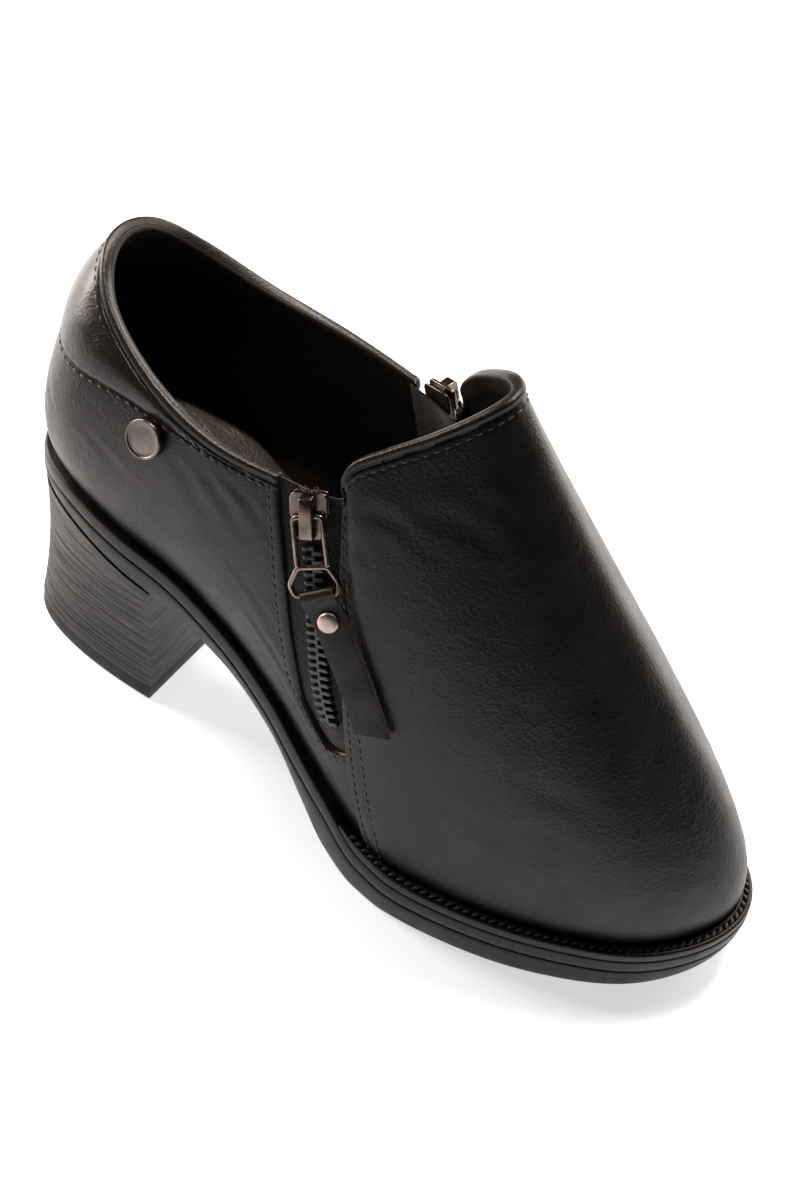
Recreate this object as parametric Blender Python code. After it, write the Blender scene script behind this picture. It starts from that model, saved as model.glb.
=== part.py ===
"""Zip ankle boot, right foot: a hollow upper on a welted sole with a stacked block heel.

The tables hold millimetres and the scene holds metres. x runs from the heel to the toe, y to the
medial side and z up. The lateral side faces -y. The floor is z = 0.
"""

import math

import bmesh
import bpy
import numpy as np
from mathutils import Matrix, Vector

MM = 0.001
GAP = 0.3
FOOT_GAP = 0.45

# Middle of the overall box, which becomes the origin.
MIDDLE_X = 120.55
MIDDLE_Y = -0.53

# Walls and layers.
WALL = 1.8
VAMP_OVERLAY = 1.3
COLLAR_PAD = 1.7
LINING_PAD = 1.6
MIDSOLE_THICK = 4.8
WELT_THICK = 2.9
WELT_CLEARANCE = 1.0
EDGE_ROUND = 0.6
INSOLE_THICK = 2.6
INSOLE_CLEARANCE = 1.0

# The welt: how far past the vamp's edges it runs in sections, its inset from the rim, its least
# thickness, and the share of its height and width at which its outer edge rounds.
WELT_BEYOND = 0.25
WELT_INSET = 0.5
WELT_LEAST = 0.5
WELT_EDGE_HIGH = 0.65
WELT_EDGE_WIDE = 0.25
WELT_STATIONS = 40

# The last, as sections that fan round the foot from the heel over the lateral side to the toe.
# Each section is a cubic with four points: foot (on the sole), low, high and top (at the collar).
# lat and med are the distances from the middle line to the lateral and to the medial side, whose
# collar lies ahead of the lateral one and rises over it.
SECTION_COLUMNS = (
    "foot_x", "foot_lat", "foot_med",
    "low_x", "low_lat", "low_med", "low_rise",
    "high_x", "high_lat", "high_med", "high_z",
    "top_x", "top_lat", "top_med", "top_z", "ahead", "rise",
    "margin", "seam", "pad",
)
SECTIONS = {
    "heel back": (3, 0, 0, -6, 0, 0, 15, -1.5, 0, 0, 121, 13.9, 0, 0, 144.6, 0, 0, 2.8, 0.62, 1),
    "heel turn": (8.5, 19.5, 19, 4, 26, 25, 16, 7.5, 22, 21.5, 120, 16.8, 11, 11, 142.4, 0, 0, 2.8, 0.64, 1),
    "heel side": (22, 29.3, 28, 19, 37, 36, 16, 19, 34, 33, 116, 26.5, 20.5, 20.5, 135, 0, 0, 2.8, 0.71, 1),
    "counter": (42, 32.5, 30, 41, 39, 37, 18, 42, 37, 36, 110, 45.5, 27.8, 27.8, 126.4, 1, 0, 2.8, 0.84, 0.8),
    "quarter": (66, 31, 27, 66, 39, 36, 20, 65, 38, 36, 103, 67, 32, 32, 121.6, 4, 0, 2.8, 0.92, 0.4),
    "quarter edge": (101, 33, 26.5, 101, 40.5, 36, 20, 91, 37.5, 36, 95, 87.3, 30, 30.5, 119.4, 8, 0, 3, 0.95, 0),
    "vamp edge": (142.5, 41, 35, 130, 44.5, 39, 22, 114.4, 36, 35, 91, 104, 25.6, 26.6, 119.4, 6, 0, 5.2, 0.95, 0),
    "corner": (158, 41.5, 39, 152, 46, 43, 24, 121, 36, 34, 98, 103.2, 22.8, 25, 128, 6.5, 1, 6.3, 0.95, 0),
    "ball": (180, 38.3, 40.5, 178, 43, 45, 23, 138, 33, 31.5, 99, 109.8, 18.6, 20, 134.2, 4, 3.6, 6.3, 0.95, 0),
    "toe side": (202, 31.5, 37, 203, 36.5, 42, 23, 155, 27, 28, 96.5, 118.5, 13.4, 15, 140.8, 2, 4.2, 6.3, 0.95, 0),
    "toe turn": (220, 22.5, 28, 225, 26, 32, 25, 170, 19, 21, 93, 126, 7.6, 9.5, 147.3, 0.5, 3.2, 6.3, 0.95, 0),
    "toe corner": (232.5, 9, 17.5, 240, 10, 18, 27, 180, 8, 11, 87.5, 130.2, 2.6, 5.5, 151.3, 0, 1.0, 6.3, 0.95, 0),
    "toe": (237, -5, 5, 245, -4, 4, 29, 185, -2, 2, 86, 131.2, -2, 2, 152.5, 0, 0, 6.3, 0.95, 0),
}
LAST_ROW = len(SECTIONS) - 1
TURN = 2 * LAST_ROW
QUARTER_ROW = 4
VAMP_EDGE_ROW = 6

# The zip slot, up the vamp edge: how far behind that edge the quarter's edge and the zip's middle
# line lie, in sections.
SLOT_COLUMNS = ("height", "width", "chain")
SLOT = (
    (0.345, 0.40, 0.26),
    (0.378, 0.55, 0.27),
    (0.396, 0.65, 0.31),
    (0.465, 0.71, 0.365),
    (0.545, 0.76, 0.385),
    (0.640, 0.80, 0.405),
    (0.761, 0.85, 0.435),
    (0.852, 0.91, 0.485),
    (0.923, 0.96, 0.535),
    (1.0, 1.0, 0.56),
)
SLOT_FOOT = 0.345
SHOULDER = 0.012

# The rows of the wall dip behind the vamp edge, so that the slot's foot lies level.
DIP_SLOPE = 0.21
DIP_DEEPEST = 0.11
DIP_FADES_AT = 0.70
DIP_START = 4.4
DIP_LONG = 0.9

# The sole from the side: rim, tread and how far the tread's edge is tucked in under the rim.
SOLE_COLUMNS = ("x", "rim_z", "tread_z", "tuck")
SOLE = (
    (-4, 80.0, 71.0, 0.8),
    (20, 79.0, 67.8, 0.8),
    (40, 74.0, 60.8, 1.0),
    (54, 69.6, 55.2, 1.5),
    (68, 63.8, 48.6, 2.6),
    (84, 55.4, 39.4, 3.6),
    (100, 44.4, 26.8, 4.0),
    (116, 31.8, 12.0, 3.2),
    (128, 24.2, 3.6, 2.2),
    (142, 18.7, 0.0, 1.4),
    (160, 17.0, 0.0, 1.2),
    (186, 17.3, 0.0, 1.0),
    (205, 18.2, 1.2, 0.8),
    (225, 19.6, 3.6, 0.8),
    (244, 21.6, 6.8, 1.0),
)
WELT_FADE_X = (124.0, 142.0)
SOLE_STEPS = 4
TUCK_AT_MIDDLE = 0.35
TREAD_EDGE_HIGH = 1.2
TREAD_EDGE_WIDE = 1.0

# The heel block.
BREAST_X = 54.0
HEEL_FOOT_FRONT = 53.5
HEEL_FOOT_BACK = -2.2
HEEL_FOOT_HALF = 24.8
HEEL_FOOT_MIDDLE_Y = 1.0
HEEL_WAIST = 1.3
HEEL_INSET = 0.2
HEEL_FLAT_BREAST = 4.0
HEEL_HEAD_SPREAD = 1.2
HEEL_BACK_ROUND = 0.95
HEEL_SIDE_ROUND = 0.72
HEEL_STEPS = 14
HEEL_LEVELS = 6
LIFT_THICK = 5.5
LIFT_ROUND = 0.6

# Heights up a section at which the upper's rows lie, below its collar seam.
LOW_ROWS = (0.0, 0.07, 0.15, 0.22, 0.29, 0.3632, 0.398, 0.44, 0.52, 0.62, 0.74, 0.87, 1.0)
SLOT_FIRST_ROW = 5
PAD_ROWS = ((0.08, 0.45), (0.5, 1.0), (1.0, 0.55))
STEPS_PER_SECTION = 3
QUARTER_STEPS = 6

# Points at which a long curve is measured.
SAMPLES = 400

# The zip. The tape's overlap is in sections.
TAPE_THICK = 0.7
TAPE_OVERLAP = 0.09375
TAPE_ROWS = 13
TAPE_COLUMNS = 5
TAPE_TOP = 0.985
TAPE_BELOW = 0.02
CHAIN_THICK = 2.3
CHAIN_SPINE = 2.2
TOOTH_REACH = 2.1
TOOTH_PITCH = 1.35
CHAIN_SEAT = 0.05
CHAIN_FOOT = 0.362
CHAIN_BELOW_SLIDER = 0.077

# The slider, its bridge and the stirrup that hangs from it. Down is along the zip.
SLIDER_AT = {"lateral": 0.922, "medial": 0.972}
SLIDER_WIDE = 10.2
SLIDER_NARROW = 7.4
SLIDER_LONG = 12.8
SLIDER_WING = 7.6
WING_CORNER = 1.6
THROAT_CORNER = 0.8
LOWER_PLATE_SHARE = 0.7
PLATE_THICK = 1.1
PLATE_LOW = -1.7
PLATE_HIGH = 1.5
BRIDGE_WIDE = 3.5
BRIDGE_LONG = 12.0
BRIDGE_RISE = 3.6
BRIDGE_THICK = 0.9
BRIDGE_START = 0.5
BRIDGE_SINKS = 0.5
POST_SINKS = 0.3
HINGE_DOWN = -0.2
SWING_DEGREES = 6.0
LIFT_DEGREES = 3.0
HINGE_HEIGHT = 2.85
WIRE = 0.75
STIRRUP_CORNER = 1.2
STIRRUP_TOP_HALF = 3.9
STIRRUP_HALF = 4.15
STIRRUP_LONG = 13.6
LOOP_HALF = 6.1
LOOP_LONG = 7.8
LOOP_WIRE = 0.8
LOOP_CORNER = 2.0
LOOP_WIDEST_DOWN = 4.6
LOOP_SWELL = 0.6
LOOP_NARROWS = 0.4
WIRE_SIDES = 6
ARC_STEPS = 3

# The slider's post in plan: across, and down from the slider's upper end.
POST_PLAN = ((-1.8, 0.7), (1.8, 0.7), (1.0, 6.0), (-1.0, 6.0))

# The strap, as stations along its middle line: down from the loop's lower wire, toeward, and height.
STRAP_WIDE = 9.0
STRAP_THICK = 2.2
STRAP_LONG = 40.0
STRAP_STEPS = 11
STRAP_SLANT = 1.8
FOLD_LONG = 5.0
FOLD_NOSE = 0.12
FOLD_TURN = 0.62
FOLD_STATIONS = 7
EYE_SIDES = 12
WIRE_DOWN = STIRRUP_LONG + LOOP_LONG
EYE_RADIUS = LOOP_WIRE + GAP
STRAP_COLUMNS = ("down", "toeward", "height")
STRAP = (
    (-3.0, 0.0, 0.0),
    (1.5, 0.9, 0.0),
    (8.0, 3.4, 0.2),
    (14.0, 5.2, 0.4),
    (26.5, 8.6, 0.4),
    (41.0, 11.6, -0.4),
)
STUD_RADIUS = 2.95
STUD_HEIGHT = 1.5
STUD_DOWN = 7.0
STUD_GAP = 0.5
STUD_SIDES = 20

# Shares of the height and of the radius up a turned piece.
DOME = ((0.0, 0.92), (0.12, 1.0), (0.5, 1.0), (0.85, 0.8), (1.0, 0.45))
FLAT_FACE = ((0.0, 0.96), (0.1, 1.0), (0.85, 1.0), (1.0, 0.94))

# The badge on the lateral quarter.
BADGE_RADIUS = 5.6
BADGE_THICK = 2.6
BADGE_ROW = 3.26
BADGE_UP = 0.755
BADGE_SIDES = 24

COLOURS = {
    "black leather": ((0.012, 0.011, 0.010), 0.38, 0.0),
    "black rubber": ((0.022, 0.020, 0.018), 0.45, 0.0),
    "stacked leather": ((0.035, 0.030, 0.027), 0.55, 0.0),
    "sock leather": ((0.020, 0.018, 0.017), 0.60, 0.0),
    "zip tape": ((0.008, 0.008, 0.008), 0.90, 0.0),
    "zip teeth": ((0.012, 0.012, 0.012), 0.35, 0.0),
    "dark nickel": ((0.22, 0.19, 0.17), 0.22, 1.0),
    "brushed nickel": ((0.55, 0.48, 0.44), 0.35, 1.0),
}


def clear_scene():
    for obj in list(bpy.data.objects):
        bpy.data.objects.remove(obj, do_unlink=True)


def material(name):
    """The named finish, made once."""
    found = bpy.data.materials.get(name)
    if found:
        return found
    colour, roughness, metallic = COLOURS[name]
    made = bpy.data.materials.new(name)
    made.use_nodes = True
    shader = made.node_tree.nodes["Principled BSDF"]
    shader.inputs["Base Color"].default_value = (*colour, 1.0)
    shader.inputs["Roughness"].default_value = roughness
    shader.inputs["Metallic"].default_value = metallic
    return made


def column(table, names, name):
    """One named column of a table, as an array."""
    return np.array([row[names.index(name)] for row in table], float)


def smooth_curve(xs, ys, x):
    """A cubic through the points that never swings past them."""
    xs = np.asarray(xs, float)
    ys = np.asarray(ys, float)
    slopes = np.diff(ys) / np.diff(xs)
    before = slopes[:-1]
    after = slopes[1:]
    same_way = before * after > 0
    middle = np.where(same_way, 2 * before * after / np.where(same_way, before + after, 1), 0)
    ends = np.concatenate([[slopes[0]], middle, [slopes[-1]]])
    x = np.clip(np.asarray(x, float), xs[0], xs[-1])
    i = np.clip(np.searchsorted(xs, x, side="right") - 1, 0, len(xs) - 2)
    step = xs[i + 1] - xs[i]
    t = (x - xs[i]) / step
    start = ys[i] * (1 + 2 * t) * (1 - t) ** 2 + step * ends[i] * t * (1 - t) ** 2
    finish = ys[i + 1] * t * t * (3 - 2 * t) + step * ends[i + 1] * t * t * (t - 1)
    return start + finish


def sole_line(name, x):
    return smooth_curve(column(SOLE, SOLE_COLUMNS, "x"), column(SOLE, SOLE_COLUMNS, name), x)


def welt_share(x):
    """0 behind the welt and 1 where it has its full thickness."""
    t = np.clip((np.asarray(x, float) - WELT_FADE_X[0]) / (WELT_FADE_X[1] - WELT_FADE_X[0]), 0, 1)
    return t * t * (3 - 2 * t)


def midsole_top(x):
    return sole_line("rim_z", x) - WELT_THICK * welt_share(x)


def midsole_foot(x):
    """The midsole keeps its thickness square to the slope of the arch."""
    slope = (sole_line("rim_z", np.asarray(x) + 1) - sole_line("rim_z", np.asarray(x) - 1)) / 2
    return midsole_top(x) - MIDSOLE_THICK * np.sqrt(1 + slope**2)


def section_ring():
    """Control points of every section once round the foot, with its margin, seam and pad."""
    rows = [dict(zip(SECTION_COLUMNS, row)) for row in SECTIONS.values()]
    ring = [(row, "lat", -1) for row in rows]
    ring += [(row, "med", 1) for row in rows[-2:0:-1]]
    points = []
    extras = []
    for row, side, sign in ring:
        foot_z = float(midsole_top(row["foot_x"])) + GAP
        ahead = row["ahead"] if side == "med" else 0
        rise = row["rise"] if side == "med" else 0
        points.append((
            (row["foot_x"], sign * row["foot_" + side], foot_z),
            (row["low_x"], sign * row["low_" + side], foot_z + row["low_rise"]),
            (row["high_x"] + ahead, sign * row["high_" + side], row["high_z"]),
            (row["top_x"] + ahead, sign * row["top_" + side], row["top_z"] + rise),
        ))
        extras.append((row["margin"], row["seam"], row["pad"]))
    return np.array(points, float), np.array(extras, float)


RING, RING_EXTRAS = section_ring()


def round_ring(values, u):
    """A smooth closed curve through the ring's rows, read at section u."""
    u = np.mod(np.asarray(u, float), TURN)
    i = np.floor(u).astype(int)
    t = (u - i).reshape(u.shape + (1,) * (values.ndim - 1))
    a, b, c, d = (values[(i + k) % TURN] for k in (-1, 0, 1, 2))
    return 0.5 * (
        2 * b + (c - a) * t + (2 * a - 5 * b + 4 * c - d) * t**2 + (3 * b - a - 3 * c + d) * t**3
    )


def last_surface(u, v):
    """The last at section u and height v, before any thickness."""
    u, v = np.broadcast_arrays(np.asarray(u, float), np.asarray(v, float))
    foot, low, high, top = np.moveaxis(round_ring(RING, u), -2, 0)
    foot = foot.copy()
    foot[..., 2] = midsole_top(foot[..., 0]) + GAP
    t = v[..., None]
    return foot * (1 - t) ** 3 + 3 * low * t * (1 - t) ** 2 + 3 * high * t**2 * (1 - t) + top * t**3


def unit(vectors):
    return vectors / np.linalg.norm(vectors, axis=-1, keepdims=True)


def last_normal(u, v):
    """Outward direction of the last."""
    small = 0.02
    v = np.clip(np.asarray(v, float), small, 1 - small)
    along = last_surface(np.asarray(u) + small, v) - last_surface(np.asarray(u) - small, v)
    up = last_surface(u, v + small) - last_surface(u, v - small)
    return unit(np.cross(along, up))


def on_last(u, v, out):
    """A point this far out from the last, or in from it where out is negative."""
    out = np.broadcast_to(np.asarray(out, float), np.broadcast(u, v).shape)
    return last_surface(u, v) + last_normal(u, v) * out[..., None]


def slot_line(name, height):
    return smooth_curve(column(SLOT, SLOT_COLUMNS, "height"), column(SLOT, SLOT_COLUMNS, name), height)


def slot_edge(height):
    """Section of the quarter's zip edge on the row that meets the vamp edge at this height."""
    return VAMP_EDGE_ROW - slot_line("width", height)


def dipped(u, height):
    """The height at section u of a row that meets the vamp edge at this height."""
    lateral = np.where(u > LAST_ROW, TURN - u, u)
    ahead = np.minimum(DIP_SLOPE * np.clip(VAMP_EDGE_ROW - lateral, 0, None), DIP_DEEPEST)
    t = np.clip((lateral - DIP_START) / DIP_LONG, 0, 1)
    below = height / SLOT_FOOT
    s = np.clip((height - SLOT_FOOT) / (DIP_FADES_AT - SLOT_FOOT), 0, 1)
    share = np.where(height < SLOT_FOOT, below, 1 - s * s * (3 - 2 * s))
    return height - ahead * t * t * (3 - 2 * t) * share


def to_scene(points):
    return (np.asarray(points, float) - np.array([MIDDLE_X, MIDDLE_Y, 0.0])) * MM


def solid(name, points, faces, finish, sharp_degrees=35):
    """One closed body from points in millimetres, with every face turned outwards."""
    points = to_scene(points)
    used = sorted({i for face in faces for i in face})
    body = bmesh.new()
    verts = {i: body.verts.new(points[i]) for i in used}
    for face in faces:
        body.faces.new([verts[i] for i in face])
    bmesh.ops.recalc_face_normals(body, faces=body.faces)
    if body.calc_volume(signed=True) < 0:
        bmesh.ops.reverse_faces(body, faces=body.faces)
    mesh = bpy.data.meshes.new(name)
    body.to_mesh(mesh)
    body.free()
    mesh.shade_smooth()
    mesh.set_sharp_from_angle(angle=math.radians(sharp_degrees))
    mesh.materials.append(material(finish))
    obj = bpy.data.objects.new(name, mesh)
    bpy.context.scene.collection.objects.link(obj)
    return obj


def sheet_faces(keep, closed):
    """Faces of a thick sheet: an outer and an inner grid, joined by a rim wherever a cell is missing."""
    rows, columns = keep.shape
    width = columns if closed else columns + 1
    inner = (rows + 1) * width
    faces = []

    def corner(i, j):
        return i * width + (j % width)

    def kept(i, j):
        if closed:
            j %= columns
        return 0 <= i < rows and 0 <= j < columns and keep[i, j]

    for i in range(rows):
        for j in range(columns):
            if not keep[i, j]:
                continue
            a, b, c, d = corner(i, j), corner(i, j + 1), corner(i + 1, j + 1), corner(i + 1, j)
            faces.append((a, b, c, d))
            faces.append((d + inner, c + inner, b + inner, a + inner))
            sides = (((i - 1, j), a, b), ((i, j + 1), b, c), ((i + 1, j), c, d), ((i, j - 1), d, a))
            for cell, start, end in sides:
                if not kept(*cell):
                    faces.append((end, start, start + inner, end + inner))
    return faces


def ladder(ring, apex):
    """Faces that close a ring by joining its two sides rung by rung."""
    ring = list(ring)
    faces = []
    low, high = 0, len(ring) - 1
    if apex:
        faces.append((ring[0], ring[1], ring[-1]))
        low = 1
    while high - low > 2:
        faces.append((ring[low], ring[low + 1], ring[high - 1], ring[high]))
        low += 1
        high -= 1
    if high - low == 2:
        faces.append((ring[low], ring[low + 1], ring[high]))
    return faces


def stack(name, rings, finish, apex, sharp_degrees=35):
    """A body whose rings lie on each other, closed at its first and last ring."""
    count = len(rings[0])
    faces = []
    for level in range(len(rings) - 1):
        base = level * count
        for k in range(count):
            after = (k + 1) % count
            faces.append((base + k, base + after, base + count + after, base + count + k))
    faces += ladder(range(count), apex)
    faces += [face[::-1] for face in ladder(range((len(rings) - 1) * count, len(rings) * count), apex)]
    return solid(name, np.concatenate(rings), faces, finish, sharp_degrees)


def outline(u, inset):
    """The sole's rim in plan at section u, moved in by inset."""
    small = 0.05
    u = np.asarray(u, float)
    foot = round_ring(RING, u)[..., 0, :2]
    ahead = round_ring(RING, u + small)[..., 0, :2] - round_ring(RING, u - small)[..., 0, :2]
    out = unit(np.stack([ahead[..., 1], -ahead[..., 0]], axis=-1))
    margin = round_ring(RING_EXTRAS, u)[..., 0]
    return foot + out * (margin - inset)[..., None]


def ring_at(plan, height):
    return np.column_stack([plan, height])


def sole_sections():
    return np.arange(TURN * SOLE_STEPS) / SOLE_STEPS


def make_midsole():
    u = sole_sections()
    full = outline(u, np.zeros(len(u)))
    eased = outline(u, np.full(len(u), EDGE_ROUND))
    top = midsole_top(full[:, 0])
    foot = midsole_foot(full[:, 0])
    rings = [
        ring_at(eased, top),
        ring_at(full, top - EDGE_ROUND),
        ring_at(full, foot + EDGE_ROUND),
        ring_at(eased, foot),
    ]
    return stack("midsole", rings, "black rubber", apex=True)


def make_outsole():
    u = sole_sections()
    full = outline(u, np.zeros(len(u)))
    tuck = sole_line("tuck", full[:, 0])
    top = midsole_foot(full[:, 0]) - GAP
    tread = sole_line("tread_z", full[:, 0])
    middle = (top + tread) / 2
    rings = [
        ring_at(outline(u, np.full(len(u), EDGE_ROUND)), top),
        ring_at(full, top - EDGE_ROUND),
        ring_at(outline(u, tuck * TUCK_AT_MIDDLE), middle),
        ring_at(outline(u, tuck), tread + TREAD_EDGE_HIGH),
        ring_at(outline(u, tuck + TREAD_EDGE_WIDE), tread),
    ]
    return stack("outsole", rings, "black rubber", apex=True)


def heel_head():
    """The heel block's upper outline: the outsole's edge from the breast round the back."""
    many = np.linspace(0, QUARTER_ROW, SAMPLES)
    tuck = sole_line("tuck", outline(many, np.zeros(SAMPLES))[:, 0])
    lateral = outline(many, tuck + HEEL_INSET)
    medial = outline(-many, tuck + HEEL_INSET)
    lateral_end = float(np.interp(BREAST_X, lateral[:, 0], many))
    medial_end = float(np.interp(BREAST_X, medial[:, 0], many))
    turn = np.sin(np.linspace(0, math.pi / 2, HEEL_STEPS + 1)) ** HEEL_HEAD_SPREAD
    u = np.concatenate([lateral_end * turn[::-1], -medial_end * turn[1:]])
    tuck = sole_line("tuck", outline(u, np.zeros(len(u)))[:, 0])
    return outline(u, tuck + HEEL_INSET)


def heel_foot(inset):
    """The heel's outline on the floor: a round back that runs out straight to the breast."""
    angle = np.linspace(-1, 1, 2 * HEEL_STEPS + 1) * math.pi / 2
    length = HEEL_FOOT_FRONT - HEEL_FOOT_BACK
    x = HEEL_FOOT_FRONT - inset - (length - 2 * inset) * np.cos(angle) ** HEEL_BACK_ROUND
    side = np.sign(angle) * np.abs(np.sin(angle)) ** HEEL_SIDE_ROUND
    y = HEEL_FOOT_MIDDLE_Y + (HEEL_FOOT_HALF - inset) * side
    return np.column_stack([x, y])


def make_heel():
    head = heel_head()
    foot = heel_foot(0.0)
    head_z = sole_line("tread_z", head[:, 0]) - GAP
    foot_z = LIFT_THICK + GAP
    rings = []
    for level in range(HEEL_LEVELS + 1):
        t = level / HEEL_LEVELS
        plan = head * (1 - t) + foot * t
        centre = np.array([BREAST_X / 2, HEEL_FOOT_MIDDLE_Y])
        waist = unit(plan - centre) * HEEL_WAIST * math.sin(math.pi * t)
        waist[:, 0] *= (plan[:, 0] < BREAST_X - HEEL_FLAT_BREAST)
        rings.append(ring_at(plan - waist, head_z * (1 - t) + foot_z * t))
    return stack("heel", rings, "stacked leather", apex=False)


def make_heel_top_lift():
    rings = [
        ring_at(heel_foot(0.0), np.full(2 * HEEL_STEPS + 1, LIFT_THICK)),
        ring_at(heel_foot(0.0), np.full(2 * HEEL_STEPS + 1, LIFT_ROUND)),
        ring_at(heel_foot(LIFT_ROUND), np.zeros(2 * HEEL_STEPS + 1)),
    ]
    return stack("heel_top_lift", rings, "black rubber", apex=False)


def make_insole():
    u = sole_sections()
    margin = round_ring(RING_EXTRAS, u)[:, 0]
    full = outline(u, margin + WALL + INSOLE_CLEARANCE)
    eased = outline(u, margin + WALL + INSOLE_CLEARANCE + EDGE_ROUND)
    base = midsole_top(full[:, 0]) + FOOT_GAP
    rings = [
        ring_at(eased, base + INSOLE_THICK),
        ring_at(full, base + INSOLE_THICK - EDGE_ROUND),
        ring_at(full, base),
    ]
    return stack("insole", rings, "sock leather", apex=True)


def make_welt():
    """A strip on the midsole's edge from one vamp edge round the toe to the other."""
    u = np.linspace(VAMP_EDGE_ROW - WELT_BEYOND, TURN - VAMP_EDGE_ROW + WELT_BEYOND, WELT_STATIONS)
    margin = round_ring(RING_EXTRAS, u)[:, 0]
    outer = outline(u, np.full(len(u), WELT_INSET))
    inner = outline(u, margin - VAMP_OVERLAY - WELT_CLEARANCE)
    base = midsole_top(outer[:, 0]) + FOOT_GAP
    inner_base = midsole_top(inner[:, 0]) + FOOT_GAP
    thick = np.maximum(WELT_THICK * welt_share(outer[:, 0]) - GAP, WELT_LEAST)
    profile = [
        ring_at(outer, base),
        ring_at(outer, base + thick * WELT_EDGE_HIGH),
        ring_at(outer * (1 - WELT_EDGE_WIDE) + inner * WELT_EDGE_WIDE, base + thick),
        ring_at(inner, inner_base + thick),
        ring_at(inner, inner_base),
    ]
    points = np.stack(profile, axis=1)
    count, sides = points.shape[:2]
    faces = []
    for k in range(count - 1):
        for s in range(sides):
            after = (s + 1) % sides
            faces.append((k * sides + s, k * sides + after, (k + 1) * sides + after, (k + 1) * sides + s))
    faces.append(tuple(range(sides)))
    faces.append(tuple(range((count - 1) * sides, count * sides))[::-1])
    return solid("welt", points.reshape(-1, 3), faces, "black leather")


def upper_columns():
    """Sections of the upper's columns on the lateral side, behind the quarter's edge and on the vamp."""
    back = np.arange(QUARTER_ROW * STEPS_PER_SECTION + 1) / STEPS_PER_SECTION
    front = VAMP_EDGE_ROW + np.arange((LAST_ROW - VAMP_EDGE_ROW) * STEPS_PER_SECTION + 1) / STEPS_PER_SECTION
    return back, front


def upper_grid():
    """Section u and height v of every point of the upper's wall, row by row from the sole up."""
    back, front = upper_columns()
    shares = np.arange(1, QUARTER_STEPS + 1) / QUARTER_STEPS
    heights = list(LOW_ROWS) + [1 + w for w, _ in PAD_ROWS]
    u_rows = []
    v_rows = []
    for height in heights:
        def up_to(u):
            seam = round_ring(RING_EXTRAS, u)[..., 1]
            return seam * height if height <= 1 else seam + (1 - seam) * (height - 1)

        edge = slot_edge(up_to(np.array([float(VAMP_EDGE_ROW)])))[0]
        quarter = QUARTER_ROW + shares * (edge - QUARTER_ROW)
        lateral = np.concatenate([back, quarter, [VAMP_EDGE_ROW - SHOULDER], front])
        whole = np.concatenate([lateral, TURN - lateral[-2:0:-1]])
        u_rows.append(whole)
        v_rows.append(dipped(whole, up_to(whole)))
    return np.array(u_rows), np.array(v_rows)


def make_upper():
    u, v = upper_grid()
    rows, columns = u.shape
    lateral = len(upper_columns()[0]) + QUARTER_STEPS + 1
    side = np.arange(columns)
    on_vamp = (side >= lateral) & (side <= columns - lateral)
    outer = np.where(on_vamp, VAMP_OVERLAY, 0.0)[None, :] * np.ones((rows, 1))
    inner = np.full((rows, columns), -WALL)
    pad = round_ring(RING_EXTRAS, u)[..., 2]
    for k, (_, share) in enumerate(PAD_ROWS):
        row = len(LOW_ROWS) + k
        outer[row] += COLLAR_PAD * share * pad[row]
        inner[row] -= LINING_PAD * share * pad[row]
    outside = on_last(u, v, outer)
    inside = on_last(u, v, inner)
    for foot in (outside[0], inside[0]):
        foot[:, 2] = midsole_top(foot[:, 0]) + FOOT_GAP
    keep = np.ones((rows - 1, columns), bool)
    keep[SLOT_FIRST_ROW:, lateral - 2:lateral] = False
    keep[SLOT_FIRST_ROW:, columns - lateral:columns - lateral + 2] = False
    points = np.concatenate([outside.reshape(-1, 3), inside.reshape(-1, 3)])
    return solid("upper", points, sheet_faces(keep, closed=True), "black leather")


def side_of(u, side):
    """A lateral section, or its twin on the medial side."""
    return np.asarray(u, float) if side == "lateral" else TURN - np.asarray(u, float)


def make_tape(side):
    heights = np.linspace(SLOT_FOOT - TAPE_BELOW, TAPE_TOP, TAPE_ROWS)
    rows = []
    for v in heights:
        left = slot_edge(v) - TAPE_OVERLAP
        right = VAMP_EDGE_ROW + TAPE_OVERLAP
        rows.append(np.linspace(left, right, TAPE_COLUMNS))
    v = dipped(np.array(rows), np.repeat(heights[:, None], TAPE_COLUMNS, axis=1))
    u = side_of(np.array(rows), side)
    out = -WALL - GAP
    points = np.concatenate([
        on_last(u, v, out).reshape(-1, 3),
        on_last(u, v, out - TAPE_THICK).reshape(-1, 3),
    ])
    keep = np.ones((TAPE_ROWS - 1, TAPE_COLUMNS - 1), bool)
    return solid("zip_tape_" + side, points, sheet_faces(keep, closed=False), "zip tape")


def chain_middle(v):
    """Section of the zip's middle line at height v."""
    return VAMP_EDGE_ROW - slot_line("chain", v)


def chain_path(v, side, out):
    return on_last(side_of(chain_middle(v), side), v, out)


def chain_heights(side):
    """Heights up the zip, evenly spaced along it at half the tooth pitch."""
    many = np.linspace(CHAIN_FOOT, SLIDER_AT[side] - CHAIN_BELOW_SLIDER, SAMPLES)
    path = chain_path(many, side, 0.0)
    length = np.concatenate([[0], np.cumsum(np.linalg.norm(np.diff(path, axis=0), axis=1))])
    count = int(length[-1] / TOOTH_PITCH)
    return np.interp(np.linspace(0, length[-1], count + 1), length, many)


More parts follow.
